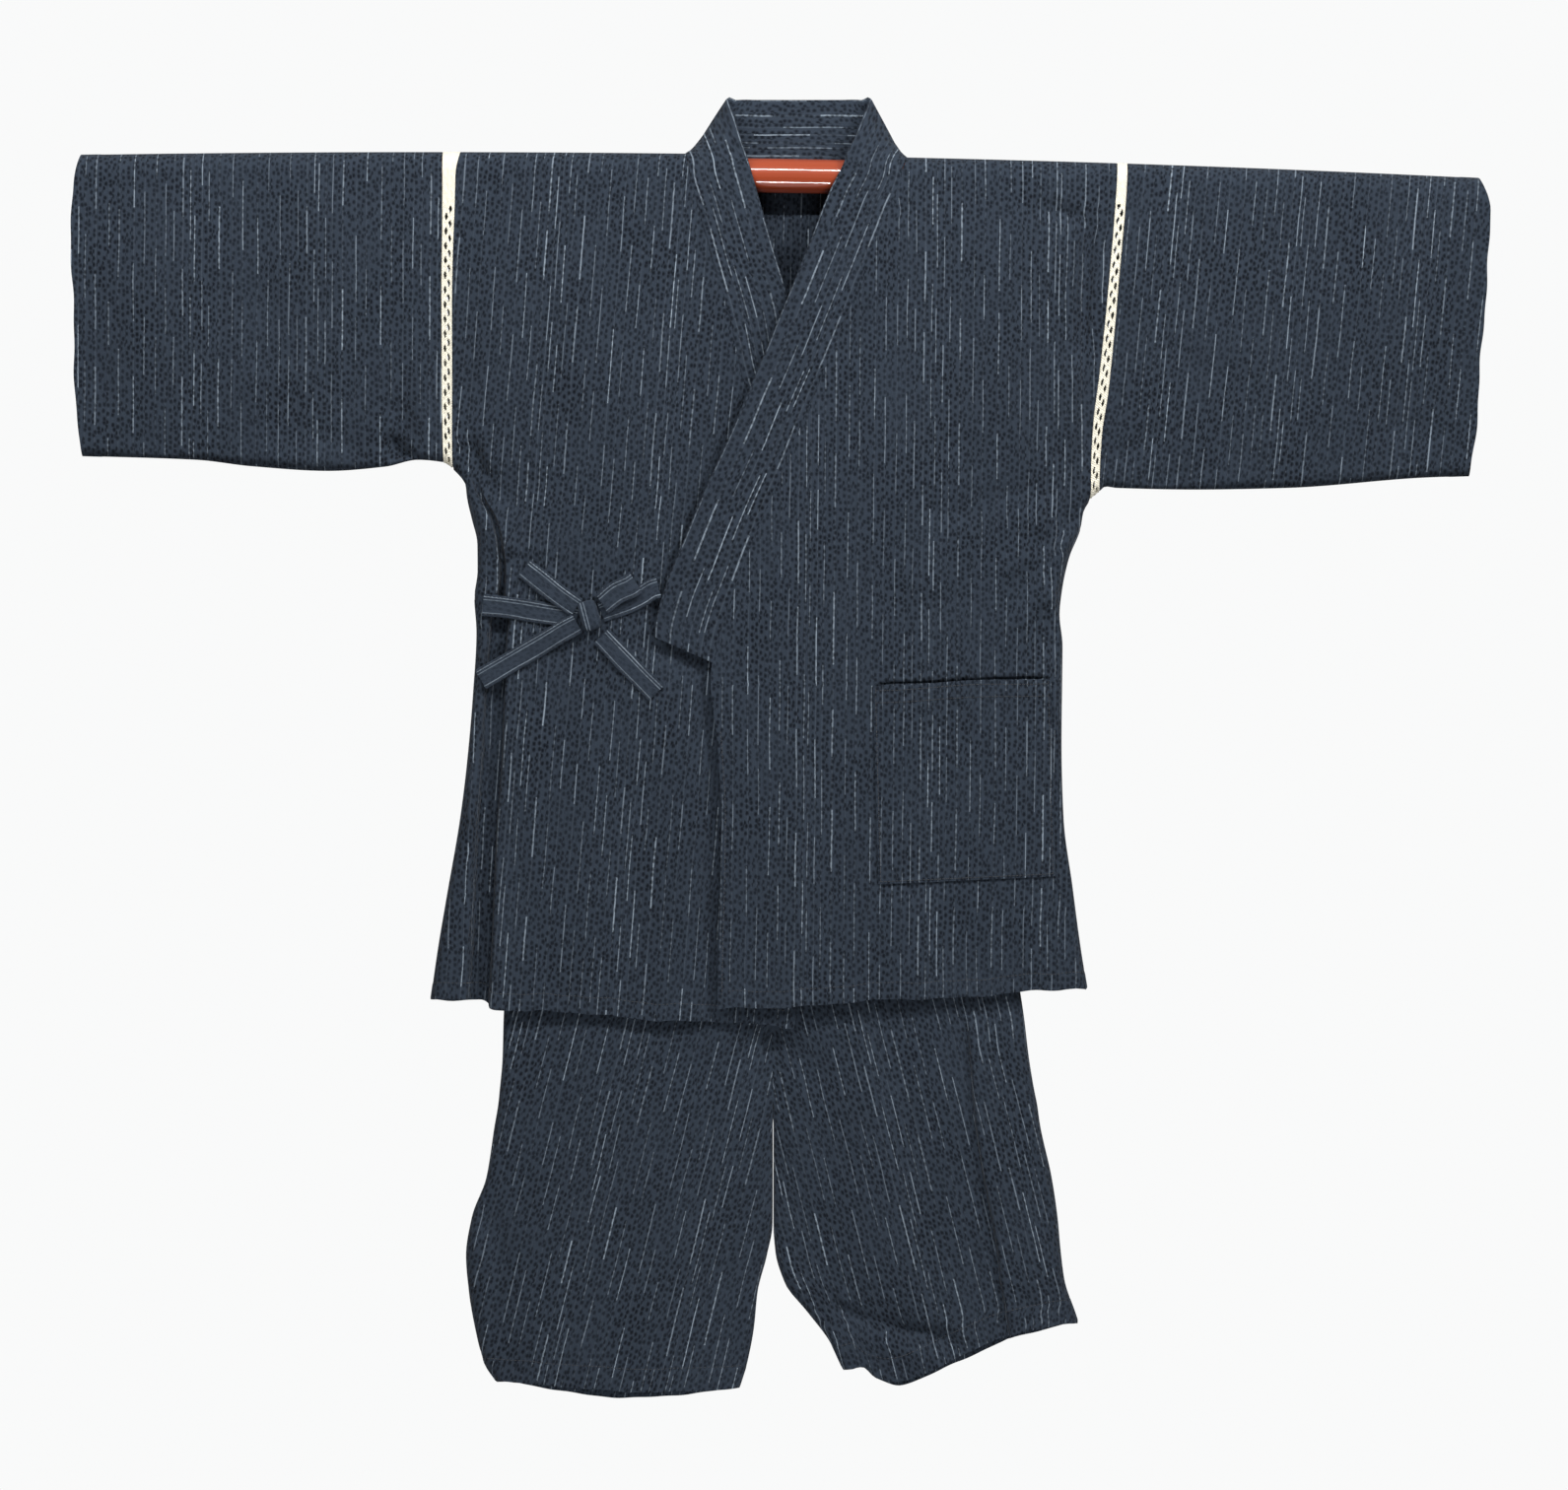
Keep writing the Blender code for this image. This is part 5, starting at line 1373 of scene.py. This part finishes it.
def add_collar(finish):
    """One folded band, up the right front's edge, round behind the neck and down the left front's."""
    right, left = band_rows(RIGHT_BAND, RIGHT_FRONT, 0), band_rows(LEFT_BAND, LEFT_FRONT, 1)
    line = right + [neck_row(row) for row in NECK] + left
    line = through(line, 0.0036)
    t = crowded(17, 0.07)
    seam, edge, on_front, lift = line[:, None, :3], line[:, None, 3:6], line[:, 6:7], line[:, 7:8]
    grid = mix(seam, edge, mix(-0.04, 1, t)[None, :, None])
    x, z = grid[..., 0], np.minimum(grid[..., 2], 0)
    lift = np.clip(lift, 0, 1)
    over = lap(x, z) + 0.0016 * t**3 * ease((-z - 0.04) / 0.08)
    y = -jacket_depth(x, z) + (1 - lift) * sunk(x, z) - lift * over
    grid[..., 1] = mix(grid[..., 1], y, np.clip(on_front, 0, 1))
    s = running(grid[:, 8])
    ripple = 0.00022 * np.sin(s * 190 + 2 * np.sin(s * 61)) + 0.0002 * np.sin(s * 83)
    ease_in = np.exp(-(((t - 0.06) / 0.10) ** 2)) + 0.6 * np.exp(-(((t - 0.95) / 0.07) ** 2))
    thick = padded_edge(t, 0.0025, 0.07)[None] + ripple[:, None] * ease_in[None] * 2
    thick[[0, -1]] *= 0.5
    marks = np.stack(np.broadcast_arrays(t[None] * 0.050 + 0.012, s[:, None]), -1)
    piece = cloth_shell("collar_band", grid, marks, np.maximum(thick, 0.0003), finish, shown_as=("collar",))


# The pocket's width and drop, its two lines of sewing below the mouth, and the line inside its edges.
POCKET_WIDTH, POCKET_DROP = 0.16, 0.178
MOUTH_LINES, EDGE_LINE = (0.0040, 0.0150), 0.0022


def add_pocket(finish):
    """The patch pocket, its mouth turned in and gaping a little."""
    top_right, top_left, low_right, low_left = POCKET
    u = crowded(38, 0.03)[None]
    v = (np.linspace(0, 0.1, 16)[:-1], np.linspace(0.1, 0.96, 44), np.linspace(0.96, 1, 5)[1:])
    v = np.concatenate(v)[:, None]
    x = mix(mix(top_right.x, top_left.x, u), mix(low_right.x, low_left.x, u), v)
    z = mix(mix(top_right.z, top_left.z, u), mix(low_right.z, low_left.z, u), v)
    z = z - 0.0011 * np.sin(u * 7.5 + 0.6) * (1 - v) ** 3
    gape = POCKET_GAPE * np.sin(np.pi * u) ** 2 * ease(1 - v / 0.25) * (0.75 + 0.35 * np.sin(u * 17))
    inset = np.minimum(np.minimum(u, 1 - u) * POCKET_WIDTH, (1 - v) * POCKET_DROP)
    gape = gape + 0.0005 * np.sin(np.pi * u * 5.3) * ease(inset / 0.01) * (1 - v)
    height = CLOTH / 2 + 0.0012 + gape - 0.0004 * np.exp(-((inset / 0.0016) ** 2))
    grid = lifted(under_pocket_depth, x, z, height)
    fall = v * POCKET_DROP
    thick = 0.0011 + 0.0006 * ease((0.0165 - fall) / 0.002 + 0.5) + 0 * u
    for line in MOUTH_LINES:
        thick = thick - 0.0005 * np.exp(-(((fall - line) / 0.0011) ** 2))
    thick = thick + 0.0004 * ease(1 - inset / 0.006)
    marks = np.stack((x - 0.0002 + math.tan(math.radians(0.6)) * -z, -z + 0.0006), -1)
    piece = cloth_shell("pocket_cloth", grid, marks, thick, finish, shown_as=("pocket",))
    piece_area(grid)
    down_count, across_count = len(v), u.shape[1]
    for line in MOUTH_LINES:
        at = np.interp(line, fall[:, 0], np.arange(down_count))
        span = np.linspace(2, across_count - 3, 80)
        sewing.append(seam_on(grid, np.full(80, at), span, -1, SEWN_POCKET))
    side = np.interp(EDGE_LINE / POCKET_WIDTH, u[0], np.arange(across_count))
    run = np.linspace(0.5, down_count - 1.6, 80)
    for at in (side, across_count - 1 - side):
        sewing.append(seam_on(grid, run, np.full(80, at), -1, SEWN_POCKET))
    base = np.interp(1 - EDGE_LINE / POCKET_DROP, v[:, 0], np.arange(down_count))
    sewing.append(seam_on(grid, np.full(80, base), np.linspace(1.5, across_count - 2.5, 80), -1, SEWN_POCKET))


def add_ties(finish):
    """Six folded strips over the right front, each on its own line, with its place and height over it."""
    base = CLOTH / 2 + SEAM + TIE / 2
    strips = (
        ("side_tie", SIDE_TIE, 1),
        ("front_tie", FRONT_TIE, 2),
        ("upper_tie_end", UPPER_END, 3),
        ("lower_right_tie_end", LOWER_RIGHT_END, 4),
        ("lower_left_tie_end", LOWER_LEFT_END, 5),
        ("tie_loop", TIE_LOOP, 6),
    )
    t = crowded(7, 0.09)
    for name, table, start in strips:
        path = through([(row.x, row.z, row.height) for row in table], 0.0016)
        if name == "tie_loop":
            direction = np.broadcast_to(path[len(path) // 2, :2] - path[0, :2], (len(path), 2))
        else:
            direction = np.gradient(path[:, :2], axis=0)
        across = np.stack((-direction[:, 1], direction[:, 0]), -1)
        across = across / np.linalg.norm(across, axis=1, keepdims=True)
        across = across * np.where(across[:, 1:] < 0, -1, 1)
        s = running(path)
        width = TIE_WIDTH * (1 + 0.02 * np.sin(s * 140 + start * 1.7))
        near_knot = np.exp(-(np.hypot(path[:, 0] - KNOT_X, path[:, 1] - KNOT_Z) / 0.016) ** 2)
        width = width * (1.09 if name == "tie_loop" else 1) * (1 - 0.12 * near_knot)
        x = path[:, :1] + across[:, :1] * width[:, None] * (t[None] - 0.5)
        z = path[:, 1:2] + across[:, 1:] * width[:, None] * (t[None] - 0.5)
        curl = 0.0004 * np.sin(s * 95 + start * 5.1)[:, None] * (t[None] - 0.5) * 2
        wrinkle = 0.0006 * near_knot[:, None] * np.sin(t[None] * 19 + start * 3.4)
        y = -(smooth_front_depth(x, z) + base + path[:, 2:3] + curl + wrinkle)
        grid = np.stack((x, y, z), -1)
        thick = np.broadcast_to(padded_edge(t, 0.0016, 0.09)[None], x.shape).copy()
        thick[[0, -1]] *= 0.6
        marks = np.stack(np.broadcast_arrays(t[None] * TIE_WIDTH + start * REPEAT, s[:, None]), -1)
        piece = cloth_shell(name + "_strip", grid, marks, thick, finish, shown_as=(name,))
        if len(s) > 12:
            line = np.interp(0.0019 / TIE_WIDTH, t, np.arange(len(t)))
            span = np.linspace(0.6, len(s) - 2, 60)
            for column in (line, len(t) - 1 - line):
                sewing.append(seam_on(grid, span, np.full(60, column), -1, SEWN))


def rounded(value, power):
    return np.sign(value) * np.abs(value) ** power


def add_knot(finish):
    """The wrap at the bow's middle: a squarish rounded block, creased along its length."""
    latitude = np.linspace(-0.5, 0.5, 31)[:, None] * np.pi
    turn = np.linspace(0, 2 * np.pi, 49)[None]
    shrink = np.maximum(np.cos(latitude), 0.004) ** 0.5
    wide = KNOT_HALF_WIDTH * rounded(np.cos(turn), 0.45) * shrink
    long = KNOT_HALF_LENGTH * rounded(np.sin(turn), 0.45) * shrink
    fold = 0.0008 * np.sin(wide / KNOT_HALF_WIDTH * 6.2 + 1.2 * np.sin(long * 130)) * np.cos(latitude)
    deep = KNOT_HALF_DEPTH * rounded(np.sin(latitude), 0.55) + 0 * turn
    deep = deep * (1 - 0.10 * (long / KNOT_HALF_LENGTH) ** 2) + fold * np.sign(deep)
    centre = -(smooth_front_depth(np.array(KNOT_X), np.array(KNOT_Z)) + CLOTH / 2 + SEAM + KNOT_HALF_DEPTH)
    x = wide * math.cos(KNOT_LEAN) - long * math.sin(KNOT_LEAN)
    z = wide * math.sin(KNOT_LEAN) + long * math.cos(KNOT_LEAN)
    grid = np.stack((KNOT_X + x, centre - deep, KNOT_Z + z), -1)
    count, columns = grid.shape[:2]
    faces = quads(count, columns)
    faces = np.where(faces % columns == columns - 1, faces - (columns - 1), faces)
    ring = np.arange(columns - 1)
    marks = np.stack((wide + 0.02, long + 0 * wide), -1).reshape(-1, 2)
    caps = (ring[::-1], ring + (count - 1) * columns)
    add_mesh("tie_knot_wrap", grid.reshape(-1, 3), faces, marks, finish, ("tie_knot",), caps)


def leg_path(table):
    """The closed edges of one leg: its outer side, and its inseam below the crotch."""
    heights = np.linspace(table[0].outer_z, table[-1].outer_z, 70)
    outer = list(zip(flow(table, "outer_z", heights, "outer_x"), heights))
    heights = np.linspace(table[INSEAM_START].outer_z, table[-1].outer_z, 50)
    inner = list(zip(flow(table, "outer_z", heights, "inner_x"), flow(table, "outer_z", heights, "inner_z")))
    return outer, inner


def add_leg(name, table, inward, facing, hem_drop, folds, lean, middle_x, finish, seed):
    outer, inner = leg_path(table)
    mine = table is LEFT_LEG

    def stops_of(z):
        outer_x, crease_x, inner_x = columns_of(table, "outer_z", z, "outer_x crease_x inner_x")
        inner_z = flow(table, "outer_z", z, "inner_z")
        gap = mix(-MEET, 0.0008, ease((table[INSEAM_START].outer_z - z) / 0.02))
        inner_x = inner_x - inward * gap
        beside = mix(z, inner_z, 0.15)
        return [
            place(outer_x, z),
            place(outer_x + inward * LEG_ROUND, z),
            place(crease_x, beside),
            place(crease_x + inward * 0.003, beside),
            place(inner_x - inward * LEG_ROUND, inner_z),
            place(inner_x, inner_z),
        ]

    top_z, low_z = table[0].outer_z, table[-1].outer_z
    heights = np.arange(top_z, low_z + 0.030, -0.0045)
    heights = np.concatenate((heights, np.linspace(low_z + 0.030, low_z, 19)))
    between = even(12) if mine else even(4)
    low = spread(stops_of(heights), (eased(6), between, even(4), even(40), mirrored(eased(6))))
    x, z = low[..., 0], low[..., 1]
    outer_x, crease_x, inner_x, sag = (
        flow(table, "outer_z", heights, part)[:, None] for part in ("outer_x", "crease_x", "inner_x", "sag")
    )
    if mine:
        z = z - sag * flow(HEM_SAG, "share", (x - inner_x) / (outer_x - inner_x), "size")
    else:
        share = np.clip((x - crease_x) / (inner_x - crease_x), 0, 1)
        z = z - sag * 4 * share * (1 - share)
    belly = np.sin(np.pi * (x - outer_x) / (inner_x - outer_x)).clip(0)
    z = z - hem_drop * ease((-heights[:, None] - 0.95) / 0.10) * belly
    z = hem_wave(x, z, z[-1], seed, 0.0006)
    distance = np.minimum(to_path(x, z, outer), to_path(x, z, inner))
    depth = flow(LEG_DEPTHS, "z", z, "depth") * closing(distance, LEG_SIDE_SHARE, LEG_SIDE_REACH, LEG_ROUND)
    inside = ease(distance / 0.010)
    gathers = np.cos(x * 420 + 3 * np.sin(x * 37)) * ease((z + 0.69) / 0.09)
    depth = depth + (GATHER * gathers + creases(folds, x, z) + puckers(x, z, seed)) * inside
    if mine and facing < 0:
        across = x - flow(LEFT_LEG, "outer_z", z, "crease_x")
        width = np.where(across < 0, PLEAT_SHARP, PLEAT_SOFT)
        pleat = PLEAT_RISE * ease((-z - 0.74) / 0.05) * np.exp(-((across / width) ** 2))
        off = z - flow(LEG_DRAG, "x", x, "z")
        along = (x - LEG_DRAG[0].x) / (LEG_DRAG[-1].x - LEG_DRAG[0].x)
        drag = ease(along / 0.15) * ease((1 - along) / 0.3)
        drag = drag * np.exp(-((off / np.where(off > 0, 0.0045, 0.013)) ** 2))
        depth = depth + (pleat + 0.6 * ridges(LEG_FOLDS, x, z) - 0.0062 * drag) * ease(depth / 0.010)
    if facing < 0:
        seam_x = flow(table, "outer_z", z, "inner_x")
        valley = 0.005 * np.exp(-(((x - seam_x) / 0.010) ** 2))
        valley = valley * ease((-z - 0.76) / 0.03) * ease((z + 0.96) / 0.08)
        recess = 0.006 * np.exp(-(((x + 0.014) / 0.026) ** 2) - ((z + 0.780) / 0.018) ** 2)
        depth = depth - (valley + recess) * inside
    grid = np.stack((x, facing * (depth - MEET), z), -1)
    thick = hem_thickness(grid, LEG_HEM)
    thick[-1] *= 0.6
    marks = cut_marks(grid, lean, middle_x)
    piece = cloth_shell(name + "_cloth", grid, marks, thick, finish, shown_as=(name,))
    piece_area(grid)
    sewing.append(sewn_hem(grid, LEG_HEM, facing, 4))


def add_waistband(finish):
    """The gathered casing of the elastic, one ring with its seam at the centre back."""
    right_x, left_x = RIGHT_LEG[0].outer_x, LEFT_LEG[0].outer_x
    middle, half = (right_x + left_x) / 2, (left_x - right_x) / 2 - CLOTH
    turn = np.linspace(0, 2 * np.pi, WAIST_GATHERS * GATHER_POINTS + 1)[None]
    turn = turn + math.radians(0.04) * (1 - turn / np.pi)
    z = np.linspace(WAIST_TOP, WAIST_LOW, 11)[:, None]
    share = (WAIST_TOP - z) / (WAIST_TOP - WAIST_LOW)
    swell = mix(1.0, 0.7, share) * (1 + 0.25 * np.sin(turn * 5 + 1))
    wave = GATHER * 0.8 * swell * np.cos(turn * WAIST_GATHERS + 0.8 * np.sin(turn * 7))
    wave = wave + 0.0009 * np.sin(np.pi * share) - 0.0006 * np.exp(-(((share - 0.5) / 0.05) ** 2))
    at = turn + np.pi / 2
    deep = np.sign(np.sin(at)) * np.sqrt(np.abs(np.sin(at)))
    deep = (LEG_DEPTHS[0].depth + wave) * deep
    grid = np.stack(np.broadcast_arrays(middle + half * np.cos(at), deep, z), -1)
    marks = np.stack(np.broadcast_arrays(turn * 0.14, share * 0.035), -1)
    piece = cloth_shell("waistband_casing", grid, marks, 0.0013, finish, shown_as=("waistband",))
    area = piece_area(grid)


def add_tapes(finish):
    """Two plain loops of tape over the rod, from inside the waistband, which carry the shorts."""
    radius = ROD_RADIUS + SEAM + TAPE / 2
    right_x, left_x = RIGHT_LEG[0].outer_x, LEFT_LEG[0].outer_x
    middle, half = (right_x + left_x) / 2, (left_x - right_x) / 2 - CLOTH
    for side, at in zip(("right", "left"), TAPE_PLACES):
        out = (abs(at - middle) + TAPE_WIDTH / 2) / half
        inside = (LEG_DEPTHS[0].depth - GATHER) * (1 - out**2) ** 0.25 - CLOTH / 2 - 2 * SEAM - TAPE / 2
        rise = np.linspace(0, 1, 90, endpoint=False)
        low = np.stack((np.full(7, -inside), np.linspace(-0.576, WAIST_TOP, 7, endpoint=False)), -1)
        side_line = np.stack((-mix(inside, radius, rise), mix(WAIST_TOP, 0.0, rise)), -1)
        angles = np.radians(np.linspace(90, -90, 29))
        arc = np.stack((-radius * np.sin(angles), radius * np.cos(angles)), -1)
        back = np.concatenate((low, side_line))[::-1] * (-1, 1)
        line = np.concatenate((low, side_line, arc, back))
        t = crowded(4, 0.12)
        x = at + TAPE_WIDTH * (t[None] - 0.5) + 0 * line[:, :1]
        z = line[:, 1:2] + axis_z(x) * ease((line[:, 1:2] + 0.3) / 0.3)
        grid = np.stack(np.broadcast_arrays(x, line[:, :1], z), -1)
        s = running(line)
        marks = np.stack(np.broadcast_arrays(t[None] * TAPE_WIDTH, s[:, None]), -1)
        thick = np.broadcast_to(padded_edge(t, 0.0010, 0.12)[None], x.shape)
        piece = cloth_shell(side + "_tape_loop", grid, marks, thick, finish, "tape", (side + "_tape",))


def add_rod(finish):
    """One round pole with softened ends, bowed a little, and fine joints between its three lengths."""
    bpy.ops.object.select_all(action="DESELECT")
    length = ROD_LEFT_END - ROD_RIGHT_END
    bpy.ops.mesh.primitive_cylinder_add(
        vertices=72, radius=ROD_RADIUS, depth=length, end_fill_type="NGON",
        location=((ROD_LEFT_END + ROD_RIGHT_END) / 2, 0, 0), rotation=(0, math.pi / 2, 0),
    )
    rod = bpy.context.object
    rod.name = rod.data.name = "rod"
    bpy.ops.object.transform_apply(location=True, rotation=True, scale=True)
    bpy.ops.object.mode_set(mode="EDIT")
    cuts = [ROD_RIGHT_END + 0.02 + i * (length - 0.04) / 40 for i in range(41)]
    cuts += [side * ROD_JOINT + step for side in (-1, 1) for step in (-0.0008, 0, 0.0008)]
    for cut in sorted(cuts):
        bpy.ops.mesh.select_all(action="SELECT")
        bpy.ops.mesh.bisect(plane_co=(cut, 0, 0), plane_no=(1, 0, 0))
    bpy.ops.object.mode_set(mode="OBJECT")
    bevel = rod.modifiers.new("Soft ends", "BEVEL")
    bevel.width, bevel.segments, bevel.angle_limit = 0.0018, 3, math.radians(60)
    bevel.limit_method = "ANGLE"
    bpy.ops.object.modifier_apply(modifier=bevel.name)
    for vertex in rod.data.vertices:
        x = vertex.co.x
        if min(abs(x - ROD_JOINT), abs(x + ROD_JOINT)) < 0.0003:
            vertex.co.y *= 0.985
            vertex.co.z *= 0.985
        vertex.co.z += axis_z(x)
    bpy.ops.object.shade_smooth_by_angle(angle=math.radians(35))
    rod.data.materials.append(finish)
    as_piece(rod, ("rod_right", "rod_middle", "rod_left"))


STITCH, STITCH_PITCH = 0.0027, 0.0035


def add_sewing(finish):
    """Every stitch, copied from one small thread that dips into the cloth at both of its ends."""
    bpy.ops.object.select_all(action="DESELECT")
    bpy.ops.mesh.primitive_cylinder_add(
        vertices=6, radius=0.00028, depth=STITCH, end_fill_type="NGON", location=(0, 0, 0),
        rotation=(0, math.pi / 2, 0),
    )
    thread = bpy.context.object
    bpy.ops.object.transform_apply(location=True, rotation=True, scale=True)
    bpy.ops.object.mode_set(mode="EDIT")
    for cut in (-0.0009, 0.0, 0.0009):
        bpy.ops.mesh.select_all(action="SELECT")
        bpy.ops.mesh.bisect(plane_co=(cut, 0, 0), plane_no=(1, 0, 0))
    bpy.ops.object.mode_set(mode="OBJECT")
    shape = np.array([tuple(v.co) for v in thread.data.vertices])
    shape[:, 2] += 0.00012 - 0.00042 * np.abs(shape[:, 0] / (STITCH / 2)) ** 3
    faces = [np.array(f.vertices) for f in thread.data.polygons]
    bpy.data.objects.remove(thread, do_unlink=True)
    points, made = [], []
    for line, out in sewing:
        s = running(line)
        for at in np.arange(STITCH_PITCH / 2, s[-1] - STITCH_PITCH / 2, STITCH_PITCH):
            centre, before, after, up = (
                np.array([np.interp(where, s, values[:, k]) for k in range(3)])
                for where, values in ((at, line), (at - 0.001, line), (at + 0.001, line), (at, out))
            )
            run = after - before
            run /= np.linalg.norm(run)
            side = np.cross(up, run)
            side /= np.linalg.norm(side)
            up = np.cross(run, side)
            points.append(centre + shape @ np.stack((run, side, up)))
            made += [(f + len(shape) * (len(points) - 1)).tolist() for f in faces]
    mesh = bpy.data.meshes.new("hem_and_pocket_stitches")
    mesh.from_pydata(np.concatenate(points).tolist(), [], made)
    mesh.materials.append(finish)
    mesh.shade_smooth()
    piece = bpy.data.objects.new("hem_and_pocket_stitches", mesh)
    bpy.context.scene.collection.objects.link(piece)
    as_piece(piece, ())


def add_studio():
    """A pale floor, a room light that is bright behind round the horizon, dim in front and above and darker
    below, a key lamp high at the front right, two long soft lamps in front, and the camera.
    """
    bpy.ops.object.select_all(action="DESELECT")
    bpy.ops.mesh.primitive_plane_add(size=3.0, location=(0, 0, -2.3))
    floor = bpy.context.object
    floor.name = "studio_floor"
    pale = Finish("pale_floor", base_color=(0.76, 0.76, 0.76, 1), roughness=0.8)
    floor.data.materials.append(pale.material)

    scene = bpy.context.scene
    world = bpy.data.worlds.new("soft_room")
    world.use_nodes = True
    scene.world = world
    nodes, links = world.node_tree.nodes, world.node_tree.links
    where = nodes.new("ShaderNodeTexCoord")
    apart = nodes.new("ShaderNodeSeparateXYZ")
    links.new(where.outputs["Generated"], apart.inputs[0])
    levels = []
    for axis, stops in (
        ("Z", ((0.36, 0), (0.42, 1), (0.58, 1), (0.64, 0))),
        ("Z", ((0.30, 0.04), (0.70, 0.22))),
        ("Y", ((0.42, 0.17), (0.68, 0.955))),
    ):
        shift, ramp = nodes.new("ShaderNodeMapRange"), nodes.new("ShaderNodeValToRGB")
        links.new(apart.outputs[axis], shift.inputs["Value"])
        shift.inputs["From Min"].default_value = -1
        links.new(shift.outputs["Result"], ramp.inputs[0])
        while len(ramp.color_ramp.elements) < len(stops):
            ramp.color_ramp.elements.new(1)
        for stop, (at, level) in zip(ramp.color_ramp.elements, stops):
            stop.position = at
            stop.color = (level * 0.995, level, level, 1)
        levels.append(ramp.outputs["Color"])
    room = nodes.new("ShaderNodeMix")
    room.data_type = "RGBA"
    for level, socket in zip(levels, (0, 6, 7)):
        links.new(level, room.inputs[socket])
    links.new(room.outputs["Result"], nodes["Background"].inputs["Color"])

    for name, place_at, aim, power, size in (
        ("key_lamp", (6.6, -6.0, 5.65), (0, 0, -0.35), 400, (1.8, 1.8)),
        ("upper_strip", (0, -1.00, 0.78), (0, 0, 0), 37, (3.6, 0.045)),
        ("lower_strip", (0, -1.30, -1.50), (0, 0, 0), 9, (0.7, 0.06)),
    ):
        lamp = bpy.data.lights.new(name, "AREA")
        lamp.shape, lamp.size, lamp.size_y, lamp.energy = "RECTANGLE", *size, power
        holder = bpy.data.objects.new(name, lamp)
        holder.location = place_at
        holder.rotation_euler = (Vector(aim) - Vector(place_at)).to_track_quat("-Z", "Y").to_euler()
        scene.collection.objects.link(holder)

    camera = bpy.data.cameras.new("front_camera")
    camera.lens, camera.sensor_width = 36 * 6 / (1591 * 0.000887), 36
    camera.clip_start, camera.clip_end = 0.1, 100
    holder = bpy.data.objects.new("front_camera", camera)
    holder.location = (0, -6, (178.5 - 756) * 0.000887)
    holder.rotation_euler = (math.pi / 2, 0, 0)
    scene.collection.objects.link(holder)
    scene.camera = holder
    scene.view_settings.view_transform = "Standard"


navy = cotton("navy_cotton")
lace, tape, lacquer, thread = lace_finish(), tape_finish(), lacquer_finish(), thread_finish()
add_rod(lacquer)
add_tapes(tape)
add_jacket(navy)
add_sleeve("right", RIGHT_ARM, RIGHT_UNDERARM, -1, RIGHT_SLEEVE_CREASES, 0.6, navy)
add_lace("right", RIGHT_ARM, RIGHT_FRONT, RIGHT_UNDERARM, -1, lace)
add_sleeve("left", LEFT_ARM, LEFT_UNDERARM, 1, LEFT_SLEEVE_CREASES, 5.5, navy)
add_lace("left", LEFT_ARM, LEFT_FRONT, LEFT_UNDERARM, 1, lace)
add_collar(navy)
add_pocket(navy)
tie_cotton = cotton("tie_cotton", TIE_THREADS, 0.45, 0.4)
add_ties(tie_cotton)
add_knot(tie_cotton)
add_leg("right_leg_front", RIGHT_LEG, 1, -1, 0.0, RIGHT_LEG_CREASES, 14.0, -0.13, navy, 0.7)
add_leg("right_leg_back", RIGHT_LEG, 1, 1, BACK_HEM_DROP, RIGHT_LEG_CREASES, 11.0, -0.13, navy, 1.8)
add_leg("left_leg_front", LEFT_LEG, -1, -1, 0.0, LEFT_LEG_CREASES, -14.0, 0.13, navy, 2.9)
add_leg("left_leg_back", LEFT_LEG, -1, 1, BACK_HEM_DROP, LEFT_LEG_CREASES, -11.0, 0.13, navy, 4.1)
add_waistband(navy)
add_sewing(thread)
add_studio()
